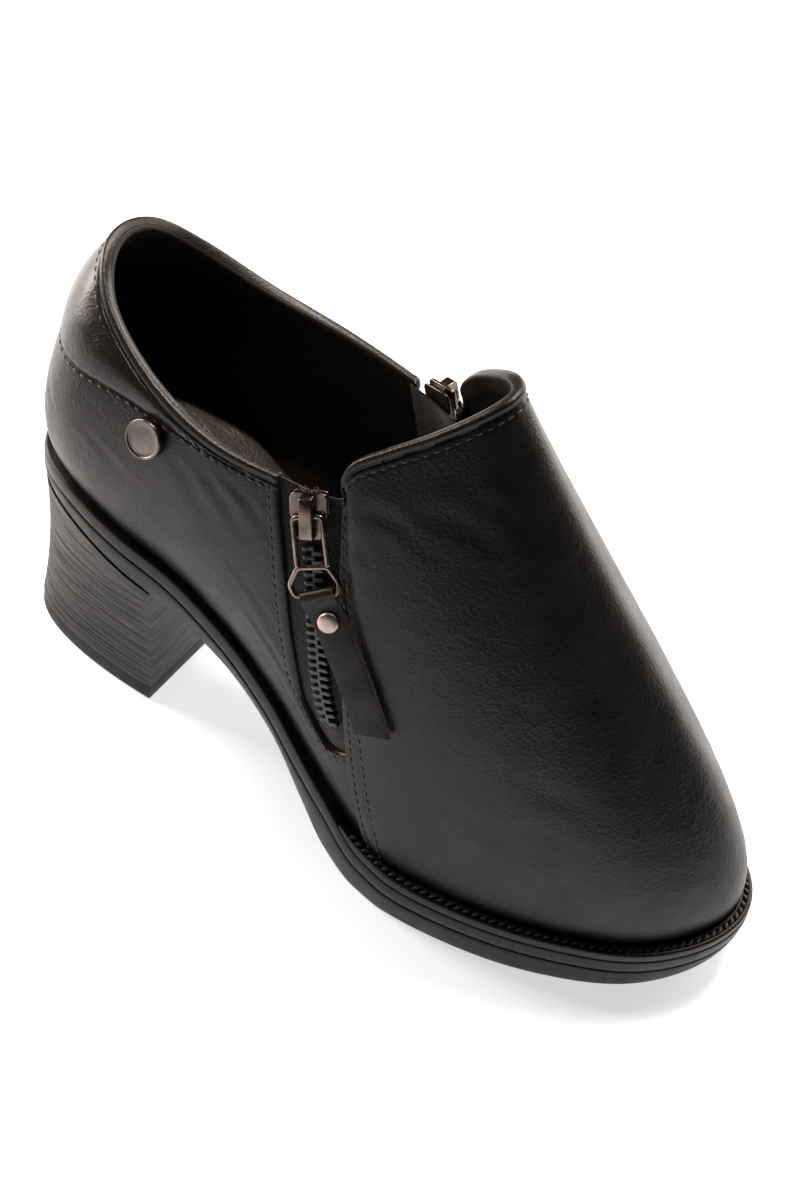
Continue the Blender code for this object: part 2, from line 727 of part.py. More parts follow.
def make_chain(side):
    """A comb: a spine with teeth that reach out to the left and right in turn."""
    heights = chain_heights(side)
    middle = chain_path(heights, side, 0.0)
    normal = last_normal(side_of(chain_middle(heights), side), heights)
    ahead = unit(np.gradient(middle, axis=0))
    across = unit(np.cross(ahead, normal))
    half = CHAIN_SPINE / 2
    offsets = (-half - TOOTH_REACH, -half, half, half + TOOTH_REACH)
    low = -WALL + CHAIN_SEAT
    layers = []
    for out in (low + CHAIN_THICK, low):
        grid = [middle + across * offset + normal * out for offset in offsets]
        layers.append(np.stack(grid, axis=1).reshape(-1, 3))
    keep = np.ones((len(heights) - 1, 3), bool)
    keep[0::2, 0] = False
    keep[1::2, 2] = False
    return solid("zip_chain_" + side, np.concatenate(layers), sheet_faces(keep, closed=False), "zip teeth", 20)


def hardware_frame(side):
    """Origin and axes of the slider: toeward, down the zip, and outward."""
    v = SLIDER_AT[side]
    small = 0.01
    origin = chain_path(np.array(v), side, 0.0)
    outward = last_normal(side_of(chain_middle(v), side), v)
    down = chain_path(np.array(v - small), side, 0.0) - chain_path(np.array(v + small), side, 0.0)
    down = unit(down - outward * np.dot(down, outward))
    toeward = np.cross(outward, down) * (1 if side == "lateral" else -1)
    return origin, np.array([toeward, down, outward])


def swung_frame(side):
    """Axes of the pull tab, which hangs a little to the toe. Its origin is the middle of the hinge."""
    frame = hardware_frame(side)
    toeward, down, outward = frame[1]
    swing = math.radians(SWING_DEGREES)
    lift = math.radians(LIFT_DEGREES)
    beside = toeward * math.cos(swing) - down * math.sin(swing)
    hang = (down * math.cos(swing) + toeward * math.sin(swing)) * math.cos(lift) + outward * math.sin(lift)
    up = outward * math.cos(lift) - (down * math.cos(swing) + toeward * math.sin(swing)) * math.sin(lift)
    return from_frame(frame, (0.0, HINGE_DOWN, HINGE_HEIGHT)), np.array([beside, hang, up])


def from_frame(frame, points):
    origin, axes = frame
    return origin + np.asarray(points, float) @ axes


def prism(name, plan, low, high, frame, finish):
    """A flat plate: an outline of (toeward, down) points between two heights."""
    count = len(plan)
    points = [(x, y, h) for h in (low, high) for x, y in plan]
    faces = [tuple(range(count)), tuple(range(count, 2 * count))[::-1]]
    faces += [(k, (k + 1) % count, count + (k + 1) % count, count + k) for k in range(count)]
    return solid(name, from_frame(frame, points), faces, finish, 30)


def side_prism(name, profile, half, frame, finish):
    """A plate on edge: an outline of (down, height) points, as wide as twice half."""
    count = len(profile)
    points = [(x, y, h) for x in (-half, half) for y, h in profile]
    faces = [tuple(range(count)), tuple(range(count, 2 * count))[::-1]]
    faces += [(k, (k + 1) % count, count + (k + 1) % count, count + k) for k in range(count)]
    return solid(name, from_frame(frame, points), faces, finish, 30)


def helper(obj):
    """Marks a cutter or a tool shape, which isn't a piece of the boot."""
    obj.hide_render = True
    obj.display_type = "WIRE"
    return obj


def combine(obj, other, operation):
    step = obj.modifiers.new(operation.lower() + " " + other.name, "BOOLEAN")
    step.operation = operation
    step.solver = "EXACT"
    step.object = helper(other)


def plate_plan(wide, narrow, start, end):
    """A slider plate in plan: wide wings above and a narrow throat below."""
    wing = start + SLIDER_WING
    return [
        (-wide / 2 + WING_CORNER, start), (wide / 2 - WING_CORNER, start),
        (wide / 2, start + WING_CORNER), (wide / 2, wing - WING_CORNER),
        (narrow / 2, wing), (narrow / 2, end - THROAT_CORNER), (narrow / 2 - THROAT_CORNER, end),
        (-narrow / 2 + THROAT_CORNER, end), (-narrow / 2, end - THROAT_CORNER), (-narrow / 2, wing),
        (-wide / 2, wing - WING_CORNER), (-wide / 2, start + WING_CORNER),
    ]


def bridge_profile(start):
    """The bridge from the side, as (down, height) points: one thick end post, a bar and a thin far end."""
    top = PLATE_HIGH + BRIDGE_RISE
    low = PLATE_HIGH - BRIDGE_SINKS
    first = start + BRIDGE_START
    last = first + BRIDGE_LONG
    return [
        (first, low), (first, top - 0.6), (first + 0.6, top), (last - 1.4, top), (last, top - 1.4), (last, low),
        (last - BRIDGE_THICK, low), (last - BRIDGE_THICK, top - BRIDGE_THICK - 0.8),
        (last - BRIDGE_THICK - 0.8, top - BRIDGE_THICK), (first + 3.4, top - BRIDGE_THICK),
        (first + 2.6, top - BRIDGE_THICK - 0.8), (first + 2.6, low),
    ]


def make_slider(side):
    frame = hardware_frame(side)
    start = -SLIDER_LONG / 2
    plan = plate_plan(SLIDER_WIDE, SLIDER_NARROW, start, -start)
    body = prism("slider_" + side, plan, PLATE_HIGH - PLATE_THICK, PLATE_HIGH, frame, "dark nickel")
    lower_top = PLATE_LOW + PLATE_THICK * LOWER_PLATE_SHARE
    lower = prism("slider lower plate " + side, plan, PLATE_LOW, lower_top, frame, "dark nickel")
    post_plan = [(across, start + down) for across, down in POST_PLAN]
    post_low = PLATE_LOW + POST_SINKS
    post = prism("slider post " + side, post_plan, post_low, PLATE_HIGH - POST_SINKS, frame, "dark nickel")
    bridge = side_prism("slider bridge " + side, bridge_profile(start), BRIDGE_WIDE / 2, frame, "dark nickel")
    for other in (lower, post, bridge):
        combine(body, other, "UNION")
    return body


def wire_loop(name, plan, radius, frame, finish, sides=WIRE_SIDES):
    """A closed wire that follows (toeward, down) points, level with the frame's origin."""
    plan = np.array(plan, float)
    count = len(plan)
    ahead = unit(np.roll(plan, -1, axis=0) - np.roll(plan, 1, axis=0))
    beside = np.column_stack([ahead[:, 1], -ahead[:, 0]])
    points = []
    for k in range(count):
        for s in range(sides):
            angle = 2 * math.pi * (s + 0.5) / sides
            offset = beside[k] * radius * math.cos(angle)
            points.append((plan[k, 0] + offset[0], plan[k, 1] + offset[1], radius * math.sin(angle)))
    faces = []
    for k in range(count):
        after = (k + 1) % count
        for s in range(sides):
            turn = (s + 1) % sides
            faces.append((k * sides + s, k * sides + turn, after * sides + turn, after * sides + s))
    return solid(name, from_frame(frame, points), faces, finish, 60)


def rounded(corners, radius, steps=ARC_STEPS):
    """A closed outline whose corners are arcs."""
    corners = np.array(corners, float)
    points = []
    for k in range(len(corners)):
        here = corners[k]
        before = unit(corners[k - 1] - here)
        after = unit(corners[(k + 1) % len(corners)] - here)
        half = math.acos(float(np.clip(np.dot(before, after), -1, 1))) / 2
        reach = radius / math.tan(half)
        start = here + before * reach
        end = here + after * reach
        for step in range(steps + 1):
            t = step / steps
            points.append(start * (1 - t) ** 2 + 2 * here * t * (1 - t) + end * t * t)
    return points


def make_pull_tab(side):
    frame = swung_frame(side)
    bar = STIRRUP_LONG
    stirrup = [(-STIRRUP_TOP_HALF, 0.0), (STIRRUP_TOP_HALF, 0.0), (STIRRUP_HALF, bar), (-STIRRUP_HALF, bar)]
    tab = wire_loop("pull_tab_" + side, rounded(stirrup, STIRRUP_CORNER), WIRE, frame, "dark nickel")
    low = bar + LOOP_LONG
    wide = LOOP_HALF + LOOP_SWELL
    foot = LOOP_HALF - LOOP_NARROWS
    widest = bar + LOOP_WIDEST_DOWN
    loop = [(-STIRRUP_HALF, bar), (STIRRUP_HALF, bar), (wide, widest), (foot, low)]
    loop += [(-foot, low), (-wide, widest)]
    ring = wire_loop("pull loop " + side, rounded(loop, LOOP_CORNER), LOOP_WIRE, frame, "dark nickel")
    combine(tab, ring, "UNION")
    return tab


def strap_middle(reach):
    """The strap's middle line in the hinge's frame, this far down from the loop's lower wire."""
    down = column(STRAP, STRAP_COLUMNS, "down")
    toeward = smooth_curve(down, column(STRAP, STRAP_COLUMNS, "toeward"), reach)
    height = smooth_curve(down, column(STRAP, STRAP_COLUMNS, "height"), reach)
    return np.column_stack([toeward, WIRE_DOWN + reach, height])


def strap_profile():
    """Stations down the strap and its half thickness: a round fold over the wire, then two layers."""
    fold = EYE_RADIUS + STRAP_THICK / 2
    angle = np.linspace(0, FOLD_TURN * math.pi, FOLD_STATIONS)
    reach = -fold * np.cos(angle)
    half = fold * np.sin(angle)
    half[0] = fold * FOLD_NOSE
    tail = np.linspace(FOLD_LONG, STRAP_LONG, STRAP_STEPS)
    return np.concatenate([reach, tail]), np.concatenate([half, np.full(len(tail), STRAP_THICK / 2)])


def make_strap():
    frame = swung_frame("lateral")
    reach, thick = strap_profile()
    path = strap_middle(reach)
    ahead = unit(np.gradient(path, axis=0))
    beside = unit(np.cross(ahead, np.array([0.0, 0.0, 1.0])))
    beside *= np.sign(beside[:, :1])
    up = unit(np.cross(ahead, beside))
    up *= np.sign(up[:, 2:])
    half = STRAP_WIDE / 2
    layers = []
    for sign in (1, -1):
        grid = [path + beside * offset + up * (sign * thick)[:, None] for offset in (-half, half)]
        for edge, offset in zip(grid, (-half, half)):
            edge[-1] += ahead[-1] * STRAP_SLANT * offset / half
        layers.append(np.stack(grid, axis=1).reshape(-1, 3))
    keep = np.ones((len(path) - 1, 1), bool)
    points = from_frame(frame, np.concatenate(layers))
    strap = solid("pull_strap", points, sheet_faces(keep, closed=False), "black leather", 50)
    angles = [2 * math.pi * k / EYE_SIDES for k in range(EYE_SIDES)]
    eye = [(WIRE_DOWN + EYE_RADIUS * math.cos(a), EYE_RADIUS * math.sin(a)) for a in angles]
    combine(strap, side_prism("strap eye", eye, STRAP_WIDE, frame, "black leather"), "DIFFERENCE")
    return strap


def disc(name, centre, axes, radius, height, finish, levels, sides):
    """A round button: a flat back, a short side and a domed or bevelled face."""
    points = []
    for rise, share in levels:
        for k in range(sides):
            angle = 2 * math.pi * k / sides
            points.append((radius * share * math.cos(angle), radius * share * math.sin(angle), height * rise))
    faces = [tuple(range(sides)), tuple(range((len(levels) - 1) * sides, len(levels) * sides))[::-1]]
    for level in range(len(levels) - 1):
        base = level * sides
        for k in range(sides):
            after = (k + 1) % sides
            faces.append((base + k, base + after, base + sides + after, base + sides + k))
    return solid(name, from_frame((centre, axes), points), faces, finish, 30)


def make_stud():
    frame = swung_frame("lateral")
    toeward, down, height = strap_middle(np.array([STUD_DOWN]))[0]
    centre = from_frame(frame, (toeward, down, height + STRAP_THICK / 2 + STUD_GAP))
    return disc("strap_stud", centre, frame[1], STUD_RADIUS, STUD_HEIGHT, "brushed nickel", DOME, STUD_SIDES)


def make_badge():
    u = np.array(BADGE_ROW)
    v = np.array(BADGE_UP)
    outward = last_normal(u, v)
    along = unit(np.cross(np.array([0.0, 0.0, 1.0]), outward))
    axes = np.array([along, np.cross(outward, along), outward])
    centre = on_last(u, v, GAP)
    return disc("badge", centre, axes, BADGE_RADIUS, BADGE_THICK, "dark nickel", FLAT_FACE, BADGE_SIDES)


def hinge(side, pieces):
    """An empty on the stirrup's axis, which carries what swings with it."""
    place, axes = swung_frame(side)
    empty = bpy.data.objects.new("pull hinge " + side, None)
    turn = Matrix([list(row) for row in axes.T]).to_4x4()
    empty.matrix_world = Matrix.Translation(Vector(to_scene(place))) @ turn
    bpy.context.scene.collection.objects.link(empty)
    bpy.context.view_layer.update()
    for piece in pieces:
        piece.parent = empty
        piece.matrix_parent_inverse = empty.matrix_world.inverted()


def main():
    clear_scene()
    make_upper()
    make_midsole()
    make_outsole()
    make_welt()
    make_heel()
    make_heel_top_lift()
    make_insole()
    for side in ("lateral", "medial"):
        make_tape(side)
        make_chain(side)
        make_slider(side)
    hinge("lateral", [make_pull_tab("lateral"), make_strap(), make_stud()])
    hinge("medial", [make_pull_tab("medial")])
    make_badge()


main()
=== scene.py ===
"""Dresses the zip ankle boot: leather, stitching, zips, sole and heel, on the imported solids.

Lengths in the tables are millimetres in the boot's own drawing frame: x from the heel to the toe, y to the
medial side, z up. Sections count round the foot: 0 at the heel's back, 6 at the lateral vamp edge, 12 at the
toe, 18 at the medial vamp edge.
"""

import math

import bpy
import numpy as np
from mathutils import Matrix, Vector


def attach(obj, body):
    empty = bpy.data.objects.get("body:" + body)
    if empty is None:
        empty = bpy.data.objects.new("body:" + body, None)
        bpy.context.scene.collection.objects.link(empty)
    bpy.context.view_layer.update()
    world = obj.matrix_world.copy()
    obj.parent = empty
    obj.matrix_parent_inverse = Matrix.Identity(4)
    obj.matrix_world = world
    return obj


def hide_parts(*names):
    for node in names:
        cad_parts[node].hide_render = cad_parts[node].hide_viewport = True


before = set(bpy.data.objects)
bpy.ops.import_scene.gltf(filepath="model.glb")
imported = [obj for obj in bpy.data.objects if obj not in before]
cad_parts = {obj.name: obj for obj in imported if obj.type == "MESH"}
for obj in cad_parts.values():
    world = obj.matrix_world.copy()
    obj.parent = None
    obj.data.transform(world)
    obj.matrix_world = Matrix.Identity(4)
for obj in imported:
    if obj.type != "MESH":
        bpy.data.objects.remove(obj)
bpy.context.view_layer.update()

bl_info = {
    "name": "Zip Ankle Boot",
    "version": (1, 0, 0),
    "blender": (4, 5, 0),
    "location": "View3D > Sidebar > Boot",
    "description": "Makes the leather, stitching, zips, sole and heel of a zip ankle boot",
    "category": "Object",
}

MM = 0.001
MIDDLE = np.array([120.55, -0.53, 0.0])
BOOT = "boot"
TABS = {"lateral": "lateral_tab", "medial": "medial_tab"}
SIDES = ("lateral", "medial")

# The last: control points of each section, as in the part.
SECTION_COLUMNS = (
    "foot_x", "foot_lat", "foot_med",
    "low_x", "low_lat", "low_med", "low_rise",
    "high_x", "high_lat", "high_med", "high_z",
    "top_x", "top_lat", "top_med", "top_z", "ahead", "rise",
    "margin", "seam", "pad",
)
SECTIONS = {
    "heel back": (3, 0, 0, -6, 0, 0, 15,
                  -1.5, 0, 0, 121, 13.9, 0, 0, 144.6, 0, 0, 2.8, 0.62, 1),
    "heel turn": (8.5, 19.5, 19, 4, 26, 25, 16,
                  7.5, 22, 21.5, 120, 16.8, 11, 11, 142.4, 0, 0, 2.8, 0.64, 1),
    "heel side": (22, 29.3, 28, 19, 37, 36, 16,
                  19, 34, 33, 116, 26.5, 20.5, 20.5, 135, 0, 0, 2.8, 0.71, 1),
    "counter": (42, 32.5, 30, 41, 39, 37, 18,
                42, 37, 36, 110, 45.5, 27.8, 27.8, 126.4, 1, 0, 2.8, 0.84, 0.8),
    "quarter": (66, 31, 27, 66, 39, 36, 20,
                65, 38, 36, 103, 67, 32, 32, 121.6, 4, 0, 2.8, 0.92, 0.4),
    "quarter edge": (101, 33, 26.5, 101, 40.5, 36, 20,
                     91, 37.5, 36, 95, 87.3, 30, 30.5, 119.4, 8, 0, 3, 0.95, 0),
    "vamp edge": (142.5, 41, 35, 130, 44.5, 39, 22,
                  114.4, 36, 35, 91, 104, 25.6, 26.6, 119.4, 6, 0, 5.2, 0.95, 0),
    "corner": (158, 41.5, 39, 152, 46, 43, 24,
               121, 36, 34, 98, 103.2, 22.8, 25, 128, 6.5, 1, 6.3, 0.95, 0),
    "ball": (180, 38.3, 40.5, 178, 43, 45, 23,
             138, 33, 31.5, 99, 109.8, 18.6, 20, 134.2, 4, 3.6, 6.3, 0.95, 0),
    "toe side": (202, 31.5, 37, 203, 36.5, 42, 23,
                 155, 27, 28, 96.5, 118.5, 13.4, 15, 140.8, 2, 4.2, 6.3, 0.95, 0),
    "toe turn": (220, 22.5, 28, 225, 26, 32, 25,
                 170, 19, 21, 93, 126, 7.6, 9.5, 147.3, 0.5, 3.2, 6.3, 0.95, 0),
    "toe corner": (232.5, 9, 17.5, 240, 10, 18, 27,
                   180, 8, 11, 87.5, 130.2, 2.6, 5.5, 151.3, 0, 1.0, 6.3, 0.95, 0),
    "toe": (237, -5, 5, 245, -4, 4, 29,
            185, -2, 2, 86, 131.2, -2, 2, 152.5, 0, 0, 6.3, 0.95, 0),
}
LAST_ROW = 12
TURN = 24
VAMP_EDGE = 6.0
EXTRAS = ("margin", "seam", "pad")

SLOT_COLUMNS = ("height", "width", "chain")
SLOT = (
    (0.345, 0.40, 0.26),
    (0.378, 0.55, 0.27),
    (0.396, 0.65, 0.31),
    (0.465, 0.71, 0.365),
    (0.545, 0.76, 0.385),
    (0.640, 0.80, 0.405),
    (0.761, 0.85, 0.435),
    (0.852, 0.91, 0.485),
    (0.923, 0.96, 0.535),
    (1.0, 1.0, 0.56),
)
SLOT_FOOT = 0.345
DIP_SLOPE = 0.21
DIP_DEEPEST = 0.11
DIP_FADES_AT = 0.70
DIP_START = 4.4
DIP_LONG = 0.9

SOLE_COLUMNS = ("x", "rim_z", "tread_z", "tuck")
SOLE = (
    (-4, 80.0, 71.0, 0.8),
    (20, 79.0, 67.8, 0.8),
    (40, 74.0, 60.8, 1.0),
    (54, 69.6, 55.2, 1.5),
    (68, 63.8, 48.6, 2.6),
    (84, 55.4, 39.4, 3.6),
    (100, 44.4, 26.8, 4.0),
    (116, 31.8, 12.0, 3.2),
    (128, 24.2, 3.6, 2.2),
    (142, 18.7, 0.0, 1.4),
    (160, 17.0, 0.0, 1.2),
    (186, 17.3, 0.0, 1.0),
    (205, 18.2, 1.2, 0.8),
    (225, 19.6, 3.6, 0.8),
    (244, 21.6, 6.8, 1.0),
)
WELT_FADE_X = (124.0, 142.0)
GAP = 0.3
FOOT_GAP = 0.45
WALL = 1.8
VAMP_OVERLAY = 1.3
COLLAR_PAD = 1.7
LINING_PAD = 1.6
MIDSOLE_THICK = 4.8
WELT_THICK = 2.9
INSOLE_THICK = 2.6
LINING_THICK = 0.7
SECTION_MM = 14.5
HEIGHT_MM = 110.0
QUARTER_MM = 5.2 * SECTION_MM

BREAST_X = 54.0
HEEL_FOOT_FRONT = 53.5
HEEL_FOOT_BACK = -2.2
HEEL_FOOT_HALF = 24.8
HEEL_MIDDLE_Y = 1.0
HEEL_WAIST = 1.3
LIFT_THICK = 5.5

SLIDER_AT = {"lateral": 0.922, "medial": 0.972}
SLIDER_WIDE = 10.2
SLIDER_NARROW = 7.4
SLIDER_LONG = 12.8
SLIDER_WING = 7.6
PLATE_THICK = 1.1
PLATE_LOW = -1.7
PLATE_HIGH = 1.5
BRIDGE_WIDE = 3.5
BRIDGE_LONG = 12.0
BRIDGE_RISE = 3.6
BRIDGE_THICK = 0.9
CHAIN_FOOT = 0.362
CHAIN_BELOW_SLIDER = 0.077
TOOTH_PITCH = 2.5
HINGE_DOWN = -0.2
HINGE_HEIGHT = 2.85
SWING_DEGREES = 6.0
LIFT_DEGREES = 3.0
WIRE = 0.75
STIRRUP_TOP_HALF = 3.9
STIRRUP_HALF = 4.15
STIRRUP_LONG = 13.6
STIRRUP_CORNER = 1.2
LOOP_HALF = 6.1
LOOP_LONG = 7.8
LOOP_WIRE = 0.8
LOOP_CORNER = 2.0
WIRE_DOWN = STIRRUP_LONG + LOOP_LONG
STRAP_COLUMNS = ("down", "toeward", "height")
STRAP = (
    (-3.0, 0.0, 0.0),
    (1.5, 0.9, 0.0),
    (8.0, 3.4, 0.2),
    (14.0, 5.2, 0.4),
    (26.5, 8.6, 0.4),
    (41.0, 11.6, -0.4),
)
STRAP_WIDE = 9.0
STRAP_LONG = 40.0
STRAP_SLANT = 1.8
STRAP_LAYER = 1.02
STRAP_SEAM = 0.03
STRAP_TAIL_FROM = 4.2
STRAP_TAIL_ROWS = 46
STRAP_CUP = 0.18
STRAP_TURN = 0.66 * math.pi
EYE_RADIUS = LOOP_WIRE + 0.12
STUD_DOWN = 7.0
STUD_SINKS = 0.45
BADGE_ROW = 3.26
BADGE_UP = 0.755

# Creases in the leather, listed one by one: from section and height to section and height, depth and half
# width.
CREASES = (
    (4.05, 0.84, 4.55, 0.70, 0.30, 2.2),
    (4.30, 0.88, 4.95, 0.78, 0.22, 1.8),
    (3.75, 0.78, 4.25, 0.60, 0.20, 2.6),
    (4.60, 0.52, 5.15, 0.40, 0.22, 2.0),
    (4.75, 0.36, 5.45, 0.24, 0.26, 1.8),
    (4.95, 0.22, 5.75, 0.15, 0.22, 1.8),
    (5.35, 0.17, 5.95, 0.06, 0.18, 1.6),
    (2.35, 0.52, 3.05, 0.44, 0.16, 2.6),
    (1.10, 0.50, 1.70, 0.40, 0.16, 2.4),
    (6.35, 0.12, 6.95, 0.22, 0.20, 2.0),
    (6.30, 0.86, 7.30, 0.80, 0.18, 2.0),
    (7.10, 0.90, 8.40, 0.83, 0.18, 1.8),
    (8.20, 0.88, 9.60, 0.84, 0.22, 2.0),
    (9.40, 0.90, 10.7, 0.82, 0.16, 1.8),
    (8.60, 0.46, 9.80, 0.40, 0.16, 3.0),
    (7.40, 0.34, 8.60, 0.30, 0.14, 3.0),
)
CREASE_BOW = 1.6
CREASE_LIP = 0.55
CREASE_LIP_AT = 1.9
WAVE_SIZE = 0.05
PAD_WAVE_SIZE = 0.10
BEAD_HIGH = 0.75
BEAD_HALF = 1.25
BEAD_GROOVE = 0.38
BEAD_GROOVE_AT = 2.9
BEAD_GROOVE_WIDE = 0.45
SEAM_DEEP = 0.16
SEAM_WIDE = 0.42
COLLAR_SEAM_DEEP = 0.12
PUCKER = 0.10

PAD_TOP_MM = 3.0
PAD_END = 4.6
PAD_SKIN = 0.75
PAD_PROFILE = ((0.0, 0.08, 0.5, 1.0), (0.0, 0.45, 1.0, 0.55))
TOP_STEP = 0.03
# Rows in all and the share of the height that is finely divided, under the collar.
QUARTER_ROWS = (96, 0.055)
VAMP_ROWS = (100, 0.045)
LINING_ROWS = (60, 0.05)
QUARTER_COLUMNS = 88
VAMP_COLUMNS = 150
QUARTER_LINING_COLUMNS = 60
VAMP_LINING_COLUMNS = 90
LEATHER_SKIN = 0.5
LEATHER_LAP = 0.12
SLOT_STITCH = 2.3
VAMP_STITCHES = (1.6, 5.0)
COLLAR_STITCH = 4.6
STITCH_TOP = 0.955
STITCH_PITCH = 2.9
QUARTER_THREAD = -0.12
VAMP_THREAD = VAMP_OVERLAY - 0.10
THREAD_ARCH = (-0.30, 0.02, 0.14, 0.14, 0.02, -0.30)
THREAD_SWELL = (0.55, 0.95, 1.1, 1.1, 0.95, 0.55)

# (inset, rise) of the rings that round the edges of the sole's layers.
MIDSOLE_TOP_EDGE = ((3.0, 0), (0.9, 0), (0.42, -0.12), (0.12, -0.42), (0.0, -0.9))
MIDSOLE_BULGE = ((-0.12, 0),)
MIDSOLE_FOOT_EDGE = ((0.0, 0.6), (0.15, 0.2), (0.45, 0.0), (3.0, 0.0))
OUTSOLE_TOP_EDGE = ((3.0, 0), (0.55, 0), (0.18, -0.15), (0.02, -0.5))
TREAD_EDGE = ((0.0, 1.3), (0.25, 0.6), (0.75, 0.15), (1.4, 0.0))
INSOLE_EDGE = (
    (4.5, INSOLE_THICK), (1.6, INSOLE_THICK + 0.25), (0.5, INSOLE_THICK - 0.1),
    (0.0, INSOLE_THICK - 0.8), (0.0, 0.4), (0.3, 0.0),
)
LIFT_EDGE = (
    (0.5, LIFT_THICK), (0.1, LIFT_THICK - 0.15), (0.0, LIFT_THICK - 0.5),
    (0.0, 0.9), (0.15, 0.3), (0.6, 0.0),
)
SOLE_SECTIONS = 480
INSOLE_SECTIONS = 300
BED_HOLLOW = 0.9
BED_WAVE_SIZE = 0.12
RIB_PITCH = 5.2
RIB_DEEP = 0.7
RIBS_FROM = 128
RIBS_TO = 228
# (share across, share of the height) of the welt's section, from its outer foot.
WELT_PROFILE = (
    (0.0, 0.0), (-0.02, 0.30), (0.0, 0.62), (0.05, 0.86), (0.14, 0.98), (0.26, 1.0), (0.40, 0.93),
    (0.48, 0.80), (0.56, 0.78), (0.64, 0.90), (0.78, 1.02), (0.92, 1.02), (1.0, 0.9), (1.0, 0.0),
)
WELT_STITCH_PITCH = 2.6
WELT_THREAD = (0.25, 0.44, 0.5, 0.44, 0.25)
WELT_THREAD_AT = (-1.25, -0.7, 0.0, 0.7, 1.25)
WELT_THREAD_LEAN = (-0.85, -0.5, 0.0, 0.5, 0.85)
WELT_THREAD_ARCH = (-0.35, 0.12, 0.28, 0.12, -0.35)
WELT_CHANNEL = 0.52
WELT_LIFT = 0.12
WELT_THINNEST = 0.45
HEAD_GAP = 0.2
HEEL_LEVELS = 150
HEEL_SIDES = 241
LIFT_SIDES = 161
HEEL_SEAM = 0.12
GROOVE_DEEP = 0.34
GROOVE_HALF = 0.27
GROOVE_STEP = 1.25
GROOVE_STEP_MORE = 0.55
GROOVES_FROM = 8.0
GROOVES_TO = 72.0
LEDGE = 0.16

# (across, half long, half high) of one tooth, from the tape to its knob.
TOOTH = (
    (-0.55, 0.55, 0.55), (-0.30, 0.85, 0.95), (0.35, 0.80, 1.0), (0.95, 0.62, 0.95),
    (1.65, 0.66, 1.05), (2.35, 0.70, 1.05), (2.80, 0.62, 0.9), (3.05, 0.35, 0.5),
)
TOOTH_DEPTH = -0.75
TAPE_ROWS = 90
TAPE_COLUMNS = 25
TAPE_LAP = 3.0 / 32.0
TAPE_TOP = 0.985
TAPE_THICK = 0.6
TAPE_GAP = 0.25
TOOTH_SIDES = 10
# (radius, height) of the turned pieces, from back to face.
STUD_PROFILE = (
    (2.6, 0.0), (2.85, 0.1), (2.95, 0.4), (2.92, 0.75), (2.75, 1.05), (2.35, 1.3), (1.8, 1.46),
    (1.1, 1.55), (0.4, 1.58),
)
BADGE_PROFILE = (
    (5.3, 0.0), (5.55, 0.2), (5.6, 0.6), (5.6, 2.1), (5.5, 2.5), (5.25, 2.68), (4.95, 2.62),
    (4.8, 2.40), (4.6, 2.30), (3.4, 2.36), (2.0, 2.42), (0.7, 2.44),
)
BADGE_OUT = 0.05
FRAY_ABOVE = 0.055
FIBRES = 34
FIBRE_SEEDS = {"lateral": 11, "medial": 12}

SNOOT_DEGREES = 7.0
CAMERA_PLACE = (235.591, -331.604, 410.848)
CAMERA_ROWS = (
    (0.83598, 0.52758, 0.15098),
    (0.47850, -0.56611, -0.67124),
    (-0.26866, 0.63338, -0.72570),
)
CAMERA_LENS = 51.5
CAMERA_SHIFT = (0.072, 0.045)
SENSOR = 36.0
FLOOR_GLOW = 0.62
FLOOR_HALF = 40.0
FLOOR_DROP = 0.0002
LIGHT_COLOUR = (1.0, 0.86, 0.75)
# Name, place, target and size of each area light, in metres.
LIGHTS = (
    ("key", (-0.85, -0.02, 0.40), (-0.10, 0.0, 0.09), (0.45, 0.65)),
    ("rim", (0.22, 0.95, 0.36), (0.04, 0.0, 0.09), (0.9, 0.35)),
    ("far", (-0.04, 0.50, 1.05), (-0.05, 0.0, 0.08), (0.35, 0.30)),
    ("fill", (-0.15, -0.95, 0.16), (0.0, 0.0, 0.04), (0.9, 0.18)),
)
SNOOT_PLACE = (-0.075, 0.05, 0.90)
SNOOT_TARGET = (-0.066, 0.002, 0.08)

def column(table, names, name):
    """One named column of a table, as an array."""
    return np.array([row[names.index(name)] for row in table], float)


def smooth_curve(xs, ys, x):
    """A cubic through the points that never swings past them."""
    xs = np.asarray(xs, float)
    ys = np.asarray(ys, float)
    slopes = np.diff(ys) / np.diff(xs)
    before = slopes[:-1]
    after = slopes[1:]
    same_way = before * after > 0
    middle = np.where(same_way, 2 * before * after / np.where(same_way, before + after, 1), 0)
    ends = np.concatenate([[slopes[0]], middle, [slopes[-1]]])
    x = np.clip(np.asarray(x, float), xs[0], xs[-1])
    i = np.clip(np.searchsorted(xs, x, side="right") - 1, 0, len(xs) - 2)
    step = xs[i + 1] - xs[i]
    t = (x - xs[i]) / step
    start = ys[i] * (1 + 2 * t) * (1 - t) ** 2 + step * ends[i] * t * (1 - t) ** 2
    finish = ys[i + 1] * t * t * (3 - 2 * t) + step * ends[i + 1] * t * t * (t - 1)
    return start + finish


def ease(t):
    """0 to 1 with level ends."""
    t = np.clip(t, 0, 1)
    return t * t * (3 - 2 * t)


def bell(x, width):
    return np.exp(-(x / width) ** 2)


def sole_line(name, x):
    return smooth_curve(column(SOLE, SOLE_COLUMNS, "x"), column(SOLE, SOLE_COLUMNS, name), x)


def welt_share(x):
    return ease((np.asarray(x, float) - WELT_FADE_X[0]) / (WELT_FADE_X[1] - WELT_FADE_X[0]))


def midsole_top(x):
    return sole_line("rim_z", x) - WELT_THICK * welt_share(x)


